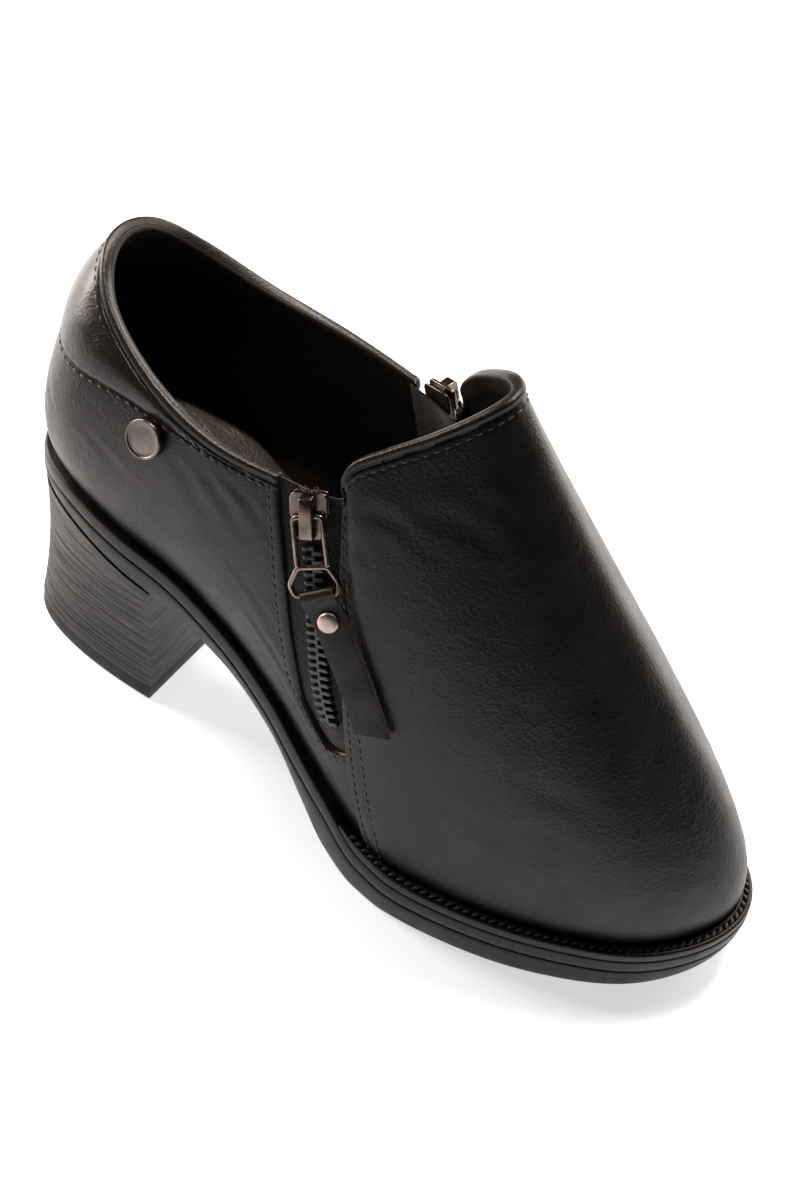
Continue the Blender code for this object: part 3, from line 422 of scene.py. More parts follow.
def midsole_foot(x):
    slope = (sole_line("rim_z", np.asarray(x) + 1) - sole_line("rim_z", np.asarray(x) - 1)) / 2
    return midsole_top(x) - MIDSOLE_THICK * np.sqrt(1 + slope**2)


def section_ring():
    """Control points of every section once round the foot, with its margin, seam and pad."""
    rows = [dict(zip(SECTION_COLUMNS, row)) for row in SECTIONS.values()]
    ring = [(row, "lat", -1) for row in rows]
    ring += [(row, "med", 1) for row in rows[-2:0:-1]]
    points = []
    extras = []
    for row, side, sign in ring:
        foot_z = float(midsole_top(row["foot_x"])) + GAP
        ahead = row["ahead"] if side == "med" else 0
        rise = row["rise"] if side == "med" else 0
        points.append((
            (row["foot_x"], sign * row["foot_" + side], foot_z),
            (row["low_x"], sign * row["low_" + side], foot_z + row["low_rise"]),
            (row["high_x"] + ahead, sign * row["high_" + side], row["high_z"]),
            (row["top_x"] + ahead, sign * row["top_" + side], row["top_z"] + rise),
        ))
        extras.append([row[name] for name in EXTRAS])
    return np.array(points, float), np.array(extras, float)


RING, RING_EXTRAS = section_ring()


def round_ring(values, u):
    """A smooth closed curve through the ring's rows, read at section u."""
    u = np.mod(np.asarray(u, float), TURN)
    i = np.floor(u).astype(int)
    t = (u - i).reshape(u.shape + (1,) * (values.ndim - 1))
    a, b, c, d = (values[(i + k) % TURN] for k in (-1, 0, 1, 2))
    return 0.5 * (
        2 * b + (c - a) * t + (2 * a - 5 * b + 4 * c - d) * t**2 + (3 * b - a - 3 * c + d) * t**3
    )
def extra(name, u):
    """The sole's margin, the seam's height or the collar's padding at section u."""
    return round_ring(RING_EXTRAS, u)[..., EXTRAS.index(name)]

def last_surface(u, v):
    u, v = np.broadcast_arrays(np.asarray(u, float), np.asarray(v, float))
    foot, low, high, top = np.moveaxis(round_ring(RING, u), -2, 0)
    foot = foot.copy()
    foot[..., 2] = midsole_top(foot[..., 0]) + GAP
    t = v[..., None]
    return foot * (1 - t) ** 3 + 3 * low * t * (1 - t) ** 2 + 3 * high * t**2 * (1 - t) + top * t**3


def unit(vectors):
    return vectors / np.linalg.norm(vectors, axis=-1, keepdims=True)


def last_normal(u, v):
    small = 0.02
    v = np.clip(np.asarray(v, float), small, 1 - small)
    along = last_surface(np.asarray(u) + small, v) - last_surface(np.asarray(u) - small, v)
    up = last_surface(u, v + small) - last_surface(u, v - small)
    return unit(np.cross(along, up))


def on_last(u, v, out):
    """A point this far out from the last, or in from it where out is negative."""
    out = np.broadcast_to(np.asarray(out, float), np.broadcast(u, v).shape)
    return last_surface(u, v) + last_normal(u, v) * out[..., None]


def slot_line(name, height):
    return smooth_curve(column(SLOT, SLOT_COLUMNS, "height"), column(SLOT, SLOT_COLUMNS, name), height)


def slot_edge(height):
    return VAMP_EDGE - slot_line("width", height)


def folded_section(u):
    """A section counted from the heel on either side: 0 to 12."""
    u = np.mod(u, TURN)
    return np.where(u > LAST_ROW, TURN - u, u)


def dipped(u, height):
    """The height at section u of a row that meets the vamp edge at this height."""
    side = folded_section(u)
    ahead = np.minimum(DIP_SLOPE * np.clip(VAMP_EDGE - side, 0, None), DIP_DEEPEST)
    below = height / SLOT_FOOT
    above = 1 - ease((height - SLOT_FOOT) / (DIP_FADES_AT - SLOT_FOOT))
    share = np.where(height < SLOT_FOOT, below, above)
    return height - ahead * ease((side - DIP_START) / DIP_LONG) * share


def to_scene(points):
    return (np.asarray(points, float) - MIDDLE) * MM


# Meshes.


def mesh_object(name, points, faces, finish_name, body=BOOT, sharp=None):
    """A smooth piece from points in millimetres, which rides on a body."""
    faces = [list(face) for face in faces]
    used = np.unique(np.concatenate([np.asarray(face) for face in faces]))
    index = np.full(len(points), -1)
    index[used] = np.arange(len(used))
    corners = [index[face].tolist() for face in faces]
    mesh = bpy.data.meshes.new(name)
    mesh.from_pydata(to_scene(np.asarray(points)[used]).tolist(), [], corners)
    mesh.update()
    mesh.shade_smooth()
    if sharp is not None:
        mesh.set_sharp_from_angle(angle=math.radians(sharp))
    mesh.materials.append(finish(finish_name))
    obj = bpy.data.objects.new(name, mesh)
    bpy.context.scene.collection.objects.link(obj)
    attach(obj, body)
    return obj


def sheet_faces(keep):
    """Faces of a thick sheet: an outer and an inner grid, joined by a rim wherever a cell is missing."""
    rows, columns = keep.shape
    width = columns + 1
    inner = (rows + 1) * width
    i, j = np.nonzero(keep)
    a = i * width + j
    b = a + 1
    c = b + width
    d = a + width
    parts = [np.stack([a, b, c, d], 1), np.stack([d, c, b, a], 1) + inner]
    around = np.pad(keep, 1)
    for di, dj, start, end in ((-1, 0, a, b), (0, 1, b, c), (1, 0, c, d), (0, -1, d, a)):
        open_side = ~around[i + 1 + di, j + 1 + dj]
        s = start[open_side]
        e = end[open_side]
        parts.append(np.stack([e, s, s + inner, e + inner], 1))
    return np.concatenate(parts)


def shell(name, outside, inside, keep, finish_name, body=BOOT, sharp=60):
    """A sheet with thickness between two grids of points."""
    points = np.concatenate([outside.reshape(-1, 3), inside.reshape(-1, 3)])
    faces = sheet_faces(keep)
    corners = points[faces[: int(keep.sum())]]
    facing = np.cross(corners[:, 2] - corners[:, 0], corners[:, 3] - corners[:, 1])
    across = (outside - inside).reshape(-1, 3)[faces[: int(keep.sum()), 0]]
    if np.sum(facing * across) < 0:
        faces = faces[:, ::-1]
    return mesh_object(name, points, faces, finish_name, body, sharp)


def ring_faces(rings, sides, mirrored=False, loop=False, ends=True):
    """Quads between rings of points that follow each other, and a face over each end."""
    faces = []
    for k in range(rings if loop else rings - 1):
        here = k * sides
        there = (k + 1) % rings * sides
        for s in range(sides):
            t = (s + 1) % sides
            faces.append((here + s, here + t, there + t, there + s))
    first = tuple(range(sides))
    last = tuple(range((rings - 1) * sides, rings * sides))
    if mirrored:
        faces = [(a, d, c, b) for a, b, c, d in faces]
        return [first, last[::-1]] * ends + faces
    return faces + [first[::-1], last] * ends


def tube(path, radius, sides, closed=False):
    """Points and faces of a round cord along a path. radius may vary along it."""
    path = np.asarray(path, float)
    count = len(path)
    if closed:
        ahead = unit(np.roll(path, -1, axis=0) - np.roll(path, 1, axis=0))
    else:
        ahead = unit(np.gradient(path, axis=0))
    radius = np.broadcast_to(np.asarray(radius, float), (count,))
    beside = np.zeros_like(path)
    guess = np.array([0.0, 0.0, 1.0]) if abs(ahead[0][2]) < 0.9 else np.array([1.0, 0.0, 0.0])
    side = np.cross(ahead[0], guess)
    for k in range(count):
        side = side - ahead[k] * np.dot(side, ahead[k])
        side = side / np.linalg.norm(side)
        beside[k] = side
    up = np.cross(ahead, beside)
    if closed:
        twist = math.atan2(np.dot(np.cross(beside[-1], beside[0]), ahead[0]), np.dot(beside[-1], beside[0]))
        turn = np.linspace(0, twist, count)[:, None]
        beside, up = beside * np.cos(turn) + up * np.sin(turn), up * np.cos(turn) - beside * np.sin(turn)
    angle = np.arange(sides) * 2 * math.pi / sides
    ring = (beside[:, None] * np.cos(angle)[:, None] + up[:, None] * np.sin(angle)[:, None])
    points = (path[:, None] + ring * radius[:, None, None]).reshape(-1, 3)
    return points, ring_faces(count, sides, loop=closed, ends=not closed)


def join(parts):
    """Several (points, faces) as one."""
    points = []
    faces = []
    base = 0
    for some, other in parts:
        points.append(some)
        faces += [tuple(int(i) + base for i in face) for face in other]
        base += len(some)
    return np.concatenate(points), faces

def joined(name, parts, finish_name, body=BOOT, sharp=None):
    """One piece from several (points, faces)."""
    points, faces = join(parts)
    return mesh_object(name, points, faces, finish_name, body, sharp)


def path_lengths(path):
    """Distance along a path at each of its points."""
    return np.concatenate([[0], np.cumsum(np.linalg.norm(np.diff(path, axis=0), axis=1))])


def along_path(path, spacing):
    """Distances and a reader for evenly spaced points of a path."""
    length = path_lengths(path)
    count = max(2, int(round(length[-1] / spacing)))

    def read(s):
        return np.stack([np.interp(s, length, values) for values in path.T], axis=-1)

    return np.linspace(0, length[-1], count + 1), read


def stitch_row(uv, out, pitch=STITCH_PITCH, long=2.15, radius=0.27):
    """Stitches along (section, height) points, each a short thread that dips in at both ends."""
    u, v = np.asarray(uv, float).T
    where, read = along_path(np.concatenate([on_last(u, v, out), last_normal(u, v)], axis=1), pitch)
    parts = []
    for s in where[:-1] + pitch * 0.5:
        here = read(s + np.linspace(-0.5, 0.5, len(THREAD_ARCH)) * long)
        line = here[:, :3] + here[:, 3:] * np.array(THREAD_ARCH)[:, None]
        parts.append(tube(line, radius * np.array(THREAD_SWELL), sides=7))
    return join(parts)


# Finishes.


class Finish:
    """A material being wired: the shader and short calls for its nodes."""

    def __init__(self, name, colour, roughness, metallic=0.0, coat=0.0, coat_roughness=0.2,
                 specular=0.5, sheen=0.0):
        self.material = bpy.data.materials.new(name)
        self.material.use_nodes = True
        self.tree = self.material.node_tree
        self.shader = self.tree.nodes["Principled BSDF"]
        settings = {"Roughness": roughness, "Metallic": metallic, "Coat Weight": coat,
                    "Coat Roughness": coat_roughness, "Specular IOR Level": specular, "Sheen Weight": sheen}
        for socket, value in settings.items():
            self.shader.inputs[socket].default_value = value
        self.shader.inputs["Base Color"].default_value = (*colour, 1.0)
        self.place = self.node("ShaderNodeTexCoord").outputs["Object"]
        self.height = None

    def node(self, kind, **values):
        made = self.tree.nodes.new(kind)
        for name, value in values.items():
            setattr(made, name, value)
        return made

    def link(self, source, target):
        self.tree.links.new(source, target)

    def stretch(self, scale, turn=(0.0, 0.0, 0.0)):
        mapping = self.node("ShaderNodeMapping")
        mapping.inputs["Scale"].default_value = scale
        mapping.inputs["Rotation"].default_value = turn
        self.link(self.place, mapping.inputs["Vector"])
        return mapping.outputs["Vector"]

    def noise(self, scale, detail=3.0, roughness=0.5, distortion=0.0, vector=None):
        made = self.node("ShaderNodeTexNoise")
        made.inputs["Scale"].default_value = scale
        made.inputs["Detail"].default_value = detail
        made.inputs["Roughness"].default_value = roughness
        made.inputs["Distortion"].default_value = distortion
        self.link(vector or self.place, made.inputs["Vector"])
        return made.outputs["Fac"]

    def cells(self, scale, feature="F1", vector=None, smooth=0.3):
        made = self.node("ShaderNodeTexVoronoi", feature=feature)
        made.inputs["Scale"].default_value = scale
        if feature == "SMOOTH_F1":
            made.inputs["Smoothness"].default_value = smooth
        self.link(vector or self.place, made.inputs["Vector"])
        return made.outputs["Distance"]
    def twill(self, scale, distortion=0.0):
        """Fine slanted ribs."""
        made = self.node("ShaderNodeTexWave", wave_type="BANDS", bands_direction="DIAGONAL")
        made.inputs["Scale"].default_value = scale
        made.inputs["Distortion"].default_value = distortion
        self.link(self.place, made.inputs["Vector"])
        return made.outputs["Fac"]
    def span(self, value, low, high, to_low, to_high):
        made = self.node("ShaderNodeMapRange", clamp=True)
        made.inputs["From Min"].default_value = low
        made.inputs["From Max"].default_value = high
        made.inputs["To Min"].default_value = to_low
        made.inputs["To Max"].default_value = to_high
        self.link(value, made.inputs["Value"])
        return made.outputs["Result"]

    def math(self, operation, a, b):
        made = self.node("ShaderNodeMath", operation=operation)
        for socket, value in zip(made.inputs, (a, b)):
            if isinstance(value, (int, float)):
                socket.default_value = value
            else:
                self.link(value, socket)
        return made.outputs[0]

    def tones(self, value, stops):
        """Base colour from a value, through colour stops."""
        ramp = self.node("ShaderNodeValToRGB")
        elements = ramp.color_ramp.elements
        while len(elements) < len(stops):
            elements.new(0.5)
        for element, (position, colour) in zip(elements, stops):
            element.position = position
            element.color = (*colour, 1.0)
        self.link(value, ramp.inputs["Fac"])
        self.link(ramp.outputs["Color"], self.shader.inputs["Base Color"])

    def rough(self, value):
        self.link(value, self.shader.inputs["Roughness"])

    def bump(self, value, distance, strength=1.0):
        """One more layer of relief. distance is in millimetres."""
        made = self.node("ShaderNodeBump")
        made.inputs["Distance"].default_value = distance * MM
        made.inputs["Strength"].default_value = strength
        self.link(value, made.inputs["Height"])
        if self.height:
            self.link(self.height, made.inputs["Normal"])
        self.height = made.outputs["Normal"]
        self.link(self.height, self.shader.inputs["Normal"])


def leather(name, dark, light, roughness, grain, wrinkle, coat=0.08):
    """Coated leather: pebbled grain, fine wrinkles that gather in patches, and slow changes of gloss."""
    made = Finish(name, dark, roughness, coat=coat, coat_roughness=roughness * 0.72, specular=0.32)
    patches = made.noise(38.0, detail=2.0, roughness=0.55)
    made.tones(patches, ((0.35, dark), (0.65, light)))
    gloss = made.noise(95.0, detail=3.0, roughness=0.6)
    made.rough(made.span(gloss, 0.3, 0.7, roughness - 0.05, roughness + 0.07))
    made.bump(made.cells(1050.0, "SMOOTH_F1", smooth=0.4), grain, 0.75)
    made.bump(made.noise(2600.0, detail=2.0), grain * 0.5, 0.5)
    wander = made.noise(1.0, detail=4.0, roughness=0.55, distortion=0.9,
                        vector=made.stretch((120.0, 120.0, 75.0), (0.4, 0.2, 0.7)))
    line = made.math("ABSOLUTE", made.math("SUBTRACT", wander, 0.5), 0.0)
    where = made.span(made.noise(58.0, detail=2.0), 0.42, 0.68, 0.0, 1.0)
    folds = made.math("MULTIPLY", made.span(line, 0.0, 0.022, 1.0, 0.0), where)
    made.bump(made.math("MULTIPLY", folds, -1.0), wrinkle, 0.45)
    made.bump(made.noise(150.0, detail=4.0, roughness=0.55, distortion=0.8), wrinkle * 1.4, 0.22)
    return made.material


def rubber(name, dark, light, roughness):
    made = Finish(name, dark, roughness, specular=0.3)
    made.tones(made.noise(60.0, detail=3.0), ((0.3, dark), (0.7, light)))
    made.rough(made.span(made.noise(240.0, detail=3.0), 0.3, 0.7, roughness - 0.06, roughness + 0.08))
    made.bump(made.noise(1500.0, detail=3.0), 0.05, 0.35)
    made.bump(made.noise(90.0, detail=2.0), 0.25, 0.25)
    return made.material


def stacked(name):
    """Stacked leather look: level streaks, darker in the grooves and greyer between them."""
    made = Finish(name, (0.010, 0.0085, 0.0075), 0.5, specular=0.35)
    streak = made.noise(1.0, detail=4.0, roughness=0.62, vector=made.stretch((55.0, 55.0, 900.0)))
    made.tones(streak, ((0.38, (0.003, 0.0025, 0.0022)), (0.52, (0.009, 0.0076, 0.0068)),
                        (0.70, (0.022, 0.0185, 0.0165))))
    made.rough(made.span(streak, 0.35, 0.7, 0.62, 0.42))
    made.bump(streak, 0.35, 0.6)
    made.bump(made.noise(1.0, detail=3.0, vector=made.stretch((160.0, 160.0, 3200.0))), 0.12, 0.5)
    return made.material


def sock(name):
    """The insole's lining: matt, strongly grained and wrinkled."""
    made = Finish(name, (0.030, 0.025, 0.022), 0.42, coat=0.2, coat_roughness=0.36)
    made.tones(made.noise(70.0, detail=3.0), ((0.3, (0.022, 0.018, 0.016)), (0.7, (0.055, 0.046, 0.040))))
    made.bump(made.cells(900.0, "SMOOTH_F1", smooth=0.4), 0.14, 0.8)
    across = made.stretch((90.0, 260.0, 90.0))
    folds = made.noise(1.0, detail=5.0, roughness=0.6, distortion=1.2, vector=across)
    made.bump(folds, 0.5, 0.6)
    return made.material


def woven(name, colour):
    """Zip tape: a close twill."""
    made = Finish(name, colour, 0.85, sheen=0.25, specular=0.3)
    made.bump(made.twill(620.0, 0.6), 0.18, 0.9)
    made.bump(made.noise(2400.0, detail=2.0), 0.06, 0.6)
    made.tones(made.noise(300.0), ((0.35, colour), (0.65, tuple(1.8 * c for c in colour))))
    return made.material


def moulded(name, colour, roughness):
    made = Finish(name, colour, roughness, coat=0.2, coat_roughness=0.25)
    made.rough(made.span(made.noise(900.0, detail=2.0), 0.3, 0.7, roughness - 0.06, roughness + 0.08))
    made.bump(made.noise(1400.0, detail=2.0), 0.03, 0.4)
    return made.material


def nickel(name, dark, light, roughness, brushed=0.0):
    """Plated metal with slow changes of tone, fine scratches and worn gloss."""
    made = Finish(name, light, roughness, metallic=1.0, specular=0.5)
    made.tones(made.noise(130.0, detail=2.0, distortion=0.3), ((0.30, dark), (0.72, light)))
    scratch = made.noise(1.0, detail=3.0, vector=made.stretch((300.0, 2600.0, 300.0), (0.3, 0.1, 0.5)))
    made.rough(made.span(scratch, 0.3, 0.7, max(0.05, roughness - 0.06), roughness + 0.10))
    made.bump(scratch, 0.02 + brushed * 0.05, 0.35)
    made.bump(made.noise(500.0, detail=2.0), 0.02, 0.2)
    return made.material


def thread(name, colour):
    made = Finish(name, colour, 0.42, sheen=0.2, coat=0.1)
    made.bump(made.twill(1500.0), 0.08, 0.8)
    return made.material


def raw_edge(name):
    """The strap's cut edge: fibrous, brown grey."""
    made = Finish(name, (0.16, 0.12, 0.10), 0.85, specular=0.2)
    made.tones(made.noise(1.0, detail=5.0, roughness=0.7, vector=made.stretch((1800.0, 1800.0, 900.0))),
               ((0.3, (0.10, 0.078, 0.066)), (0.7, (0.34, 0.27, 0.235))))
    made.bump(made.noise(2600.0, detail=3.0), 0.15, 0.9)
    return made.material


FINISHES = {}


def finish(name):
    """The named finish, made once from the panel's colours."""
    if name in FINISHES:
        return FINISHES[name]
    tones = bpy.context.scene.boot_leather
    dark = tuple(tones.dark)
    light = tuple(tones.light)
    rough = tones.roughness
    makers = {
        "upper leather": (leather, dark, light, rough, 0.11, 0.10),
        "collar leather": (leather, dark, light, rough - 0.05, 0.085, 0.08, 0.14),
        "lining": (leather, light, tuple(1.8 * c for c in light), 0.55, 0.05, 0.12, 0.0),
        "strap leather": (leather, dark, light, 0.44, 0.05, 0.14, 0.05),
        "welt leather": (leather, dark, light, 0.40, 0.08, 0.12),
        "sock": (sock,),
        "midsole": (rubber, (0.0070, 0.0060, 0.0055), (0.0105, 0.0090, 0.0082), 0.42),
        "outsole": (rubber, (0.0065, 0.0056, 0.0050), (0.0100, 0.0086, 0.0080), 0.46),
        "lift": (rubber, (0.0060, 0.0054, 0.0050), (0.0085, 0.0076, 0.0070), 0.55),
        "stacked heel": (stacked,),
        "zip tape": (woven, (0.006, 0.006, 0.006)),
        "zip teeth": (moulded, (0.010, 0.010, 0.010), 0.34),
        "dark nickel": (nickel, (0.075, 0.060, 0.052), (0.26, 0.205, 0.175), 0.22),
        "badge nickel": (nickel, (0.10, 0.088, 0.080), (0.19, 0.165, 0.15), 0.26),
        "brushed nickel": (nickel, (0.30, 0.24, 0.215), (0.52, 0.42, 0.38), 0.34, 1.0),
        "thread": (thread, (0.010, 0.009, 0.009)),
        "tan fray": (thread, (0.30, 0.18, 0.09)),
        "raw edge": (raw_edge,),
    }
    maker, *values = makers[name]
    FINISHES[name] = maker(name, *values)
    return FINISHES[name]


# The upper.


def crease_depth(u, v):
    """How far the listed creases press the leather in."""
    depth = np.zeros(np.broadcast(u, v).shape)
    for u0, v0, u1, v1, deep, width in CREASES:
        start = np.array([u0 * SECTION_MM, v0 * HEIGHT_MM])
        line = np.array([u1 * SECTION_MM, v1 * HEIGHT_MM]) - start
        side = folded_section(u)
        x = side * SECTION_MM - start[0]
        y = v * HEIGHT_MM - start[1]
        t = np.clip((x * line[0] + y * line[1]) / np.dot(line, line), 0, 1)
        bow = CREASE_BOW * np.sin(math.pi * t)
        away = np.hypot(x - t * line[0], y - t * line[1] - bow)
        depth += deep * bell(away, width) * np.sin(math.pi * np.clip(t * 0.9 + 0.05, 0, 1))
        depth -= deep * CREASE_LIP * bell(away - CREASE_LIP_AT * width, width) * np.sin(math.pi * t)
    return depth


def slow_waves(points, size=WAVE_SIZE):
    """Broad unevenness of leather that was pulled over a last."""
    x, y, z = points[..., 0], points[..., 1], points[..., 2]
    return size * (
        np.sin(0.21 * x + 0.13 * z + 0.6) * np.sin(0.17 * z - 0.11 * y)
        + 0.6 * np.sin(0.37 * x - 0.29 * z + 1.9) * np.sin(0.31 * y + 0.23 * z)
        + 0.35 * np.sin(0.71 * x + 0.53 * z) * np.sin(0.61 * z - 0.43 * x + 2.2)
    )


def leather_relief(u, v, d, edge, crease_fade):
    """Slow waves and creases, which fade out at the collar and at a cut edge."""
    waves = slow_waves(last_surface(u, v)) * ease(edge / 6) * ease(d / 8)
    return waves - crease_depth(u, v) * ease(edge / crease_fade) * ease((d - 3) / 6)


def collar_scale(u):
    """Millimetres along the section for one whole unit of height, just under the collar."""
    return np.linalg.norm(last_surface(u, 1.0) - last_surface(u, 1 - TOP_STEP), axis=-1) / TOP_STEP


def collar_distance(u, v):
    """Millimetres below the collar's edge, along the section."""
    return (1 - v) * collar_scale(u)


def collar_bead(d):
    """The turned edge along the collar: a soft bead, then the groove under it."""
    bead = BEAD_HIGH * np.sqrt(np.clip(1 - ((d - BEAD_HALF) / BEAD_HALF) ** 2, 0, 1))
    fall = -0.9 * np.clip(1 - d / 0.6, 0, 1) ** 2
    return bead + fall - BEAD_GROOVE * bell(d - BEAD_GROOVE_AT, BEAD_GROOVE_WIDE)


def panel_pad(u, v):
    """The padded back collar: how far it stands out above its seam, with the seam's groove."""
    seam = extra("seam", u)
    pad = extra("pad", u)
    w = (v - seam) / (1 - seam)
    rise = smooth_curve(*PAD_PROFILE, np.clip(w, 0, 1))
    d = (v - seam) * HEIGHT_MM
    groove = 0.32 * bell(d, 0.8) * np.clip(pad * 2.5, 0, 1)
    return np.where(w > 0, COLLAR_PAD * pad * rise, 0.0) - groove, w, pad, d


def row_heights(count, fine_top):
    """Heights of rows: even, with the slot's foot on one of them and fine ones at the collar."""
    lower = np.linspace(0, SLOT_FOOT, int(count * SLOT_FOOT) + 1)
    upper = np.linspace(SLOT_FOOT, 1 - fine_top, int(count * (1 - SLOT_FOOT)) + 1)[1:]
    top = 1 - fine_top + fine_top * np.linspace(0, 1, 19)[1:]
    return np.concatenate([lower, upper, top])


def slot_distance(u, height):
    """Millimetres from the zip slot's edge, on the quarter."""
    side = folded_section(u)
    across = np.clip(slot_edge(height) - side, 0, None) * SECTION_MM
    down = np.clip(SLOT_FOOT - height, 0, None) * HEIGHT_MM
    return np.hypot(across, down)


def turned_edge(d, round_mm, drop):
    """How far a turned edge sinks at distance d from it."""
    t = np.clip(d / round_mm, 0, 1)
    return -drop * (1 - np.sqrt(np.clip(1 - (1 - t) ** 2, 0, 1)))


def seam_groove(d, at, depth=SEAM_DEEP):
    return -depth * bell(d - at, SEAM_WIDE)


def quarter_grid(rows, columns):
    """Sections and heights of the quarters' grid, from the medial slot round the heel to the lateral one."""
    near = 1 - np.concatenate([np.arange(0, 5, 0.42), np.arange(5, 8, 0.8)]) / QUARTER_MM
    share = np.unique(np.concatenate([np.linspace(0, 1 - 8 / QUARTER_MM, columns), near]))
    under = np.linspace(0, 1, 7)[1:]
    u_rows = []
    for height in rows:
        edge = float(slot_edge(height))
        half = np.concatenate([share * edge, edge + under * (VAMP_EDGE + 0.06 - edge)])
        u_rows.append(np.concatenate([-half[:0:-1], half]))
    u = np.array(u_rows)
    height = np.repeat(rows[:, None], u.shape[1], axis=1)
    keep = np.ones((len(rows) - 1, u.shape[1] - 1), bool)
    above = rows[:-1] >= SLOT_FOOT - 1e-6
    keep[above, :len(under)] = False
    keep[above, -len(under):] = False
    return u, height, keep


def vamp_grid(rows, columns):
    """Sections and heights of the vamp's grid, from the lateral edge over the toe to the medial edge."""
    near = np.concatenate([[0, 0.12, 0.3], np.arange(0.55, 7, 0.42)]) / SECTION_MM
    middle = np.linspace(near[-1], 2 * (LAST_ROW - VAMP_EDGE) - near[-1], columns)[1:-1]
    across = np.concatenate([near, middle, 2 * (LAST_ROW - VAMP_EDGE) - near[::-1]])
    u = np.repeat(VAMP_EDGE + across[None, :], len(rows), axis=0)
    height = np.repeat(rows[:, None], u.shape[1], axis=1)
    return u, height, np.ones((len(rows) - 1, u.shape[1] - 1), bool)


def vamp_distance(u):
    """Millimetres from the vamp's nearer edge."""
    return (folded_section(u) - VAMP_EDGE) * SECTION_MM


def leather_panel(name, u, v, out, keep):
    """A panel of upper leather whose back lies on the lining."""
    inside = on_last(u, v, np.minimum(out - LEATHER_SKIN, -WALL + LINING_THICK + LEATHER_LAP))
    return shell(name, on_last(u, v, out), inside, keep, "upper leather")


def make_quarters():
    rows = row_heights(*QUARTER_ROWS)
    u, height, keep = quarter_grid(rows, QUARTER_COLUMNS)
    v = dipped(u, height)
    pad, w, share, seam_d = panel_pad(u, v)
    d = collar_distance(u, v)
    slot = slot_distance(u, height)
    under = ease(w * 12) * ease((d - PAD_TOP_MM) / 0.8) * ease((PAD_END - np.abs(u)) * 6)
    out = pad + collar_bead(d) + turned_edge(slot, 1.3, 0.9) - (PAD_SKIN + 0.1) * under
    out += seam_groove(slot, SLOT_STITCH) + 0.10 * bell(slot - 1.3, 0.8)
    out += seam_groove(d, COLLAR_STITCH, COLLAR_SEAM_DEEP) + leather_relief(u, v, d, slot, 3)
    pucker = np.sin(2 * math.pi * u * SECTION_MM / STITCH_PITCH)
    out += PUCKER * pucker * bell(seam_d + 1.2, 1.1) * np.clip(share * 2, 0, 1)
    return leather_panel("quarter_leather", u, v, out, keep)


def make_collar_pad():
    """The stuffed panel round the back of the collar, from its seam up to the turned edge."""
    u = np.linspace(-PAD_END, PAD_END, 241)[None, :]
    share = np.concatenate([[0, 0.01, 0.03, 0.06], np.linspace(0.1, 0.9, 24), [0.94, 0.97, 0.99, 1]])[:, None]
    seam = extra("seam", u)
    per_height = collar_scale(u)
    top = 1 - PAD_TOP_MM / per_height
    v = seam + (top - seam) * share
    u = np.broadcast_to(u, v.shape)
    flat, _, pad, above = panel_pad(u, v)
    crown = 0.45 * np.sin(math.pi * np.clip(share, 0, 1)) ** 0.7 * np.clip(pad, 0.2, 1)
    out = np.maximum(flat, 0) + crown - 0.05
    below_top = (top - v) * per_height
    out += turned_edge(above, 1.3, 0.6) + turned_edge(below_top, 1.2, 0.6)
    out += turned_edge((PAD_END - np.abs(u)) * SECTION_MM, 1.5, 0.5)
    out += 0.09 * np.sin(2 * math.pi * u * SECTION_MM / 3.2) * bell(above - 1.6, 1.4)
    out += slow_waves(last_surface(u, v), PAD_WAVE_SIZE) * ease(above / 4)
    outside = on_last(u, v, out)
    inside = on_last(u, v, out - PAD_SKIN)
    keep = np.ones((v.shape[0] - 1, v.shape[1] - 1), bool)
    return shell("back_collar_pad", outside, inside, keep, "collar leather")


def make_vamp():
    rows = row_heights(*VAMP_ROWS)
    u, height, keep = vamp_grid(rows, VAMP_COLUMNS)
    v = dipped(u, height)
    edge = vamp_distance(u)
    d = collar_distance(u, v)
    out = VAMP_OVERLAY + collar_bead(d) + turned_edge(edge, 0.9, VAMP_OVERLAY - 0.06)
    for away in VAMP_STITCHES:
        out += seam_groove(edge, away)
    out += 0.10 * bell(edge - 3.3, 1.2)
    out += seam_groove(d, COLLAR_STITCH, COLLAR_SEAM_DEEP) + leather_relief(u, v, d, edge, 4)
    return leather_panel("vamp_leather", u, v, out, keep)


def make_lining(name, grid, rounding):
    """A lining behind the leather, thicker where the collar is padded."""
    u, height, keep = grid
    v = dipped(u, height)
    seam = extra("seam", u)
    w = np.clip((v - seam) / (1 - seam), 0, 1)
    d = collar_distance(u, v)
    swell = LINING_PAD * extra("pad", u) * smooth_curve(*PAD_PROFILE, w)
    inner = -WALL - swell - 0.25 * bell(d - 4.5, 2.2) - turned_edge(d, 1.4, rounding)
    outer = np.maximum(-WALL + LINING_THICK, inner + 0.2)
    return shell(name, on_last(u, v, outer), on_last(u, v, inner), keep, "lining")


def make_linings():
    rows = row_heights(*LINING_ROWS)
    back = make_lining("quarter_lining", quarter_grid(rows, QUARTER_LINING_COLUMNS), 0.9)
    front = make_lining("vamp_lining", vamp_grid(rows, VAMP_LINING_COLUMNS), 0.7)
    return back, front


def collar_row(u, d):
    """(section, height) points this far below the collar's edge."""
    return np.column_stack([u, 1 - d / collar_scale(u)])


def level_row(u, height):
    """(section, height) points of a row that dips as the slot's foot does."""
    return np.column_stack([u, dipped(u, height)])


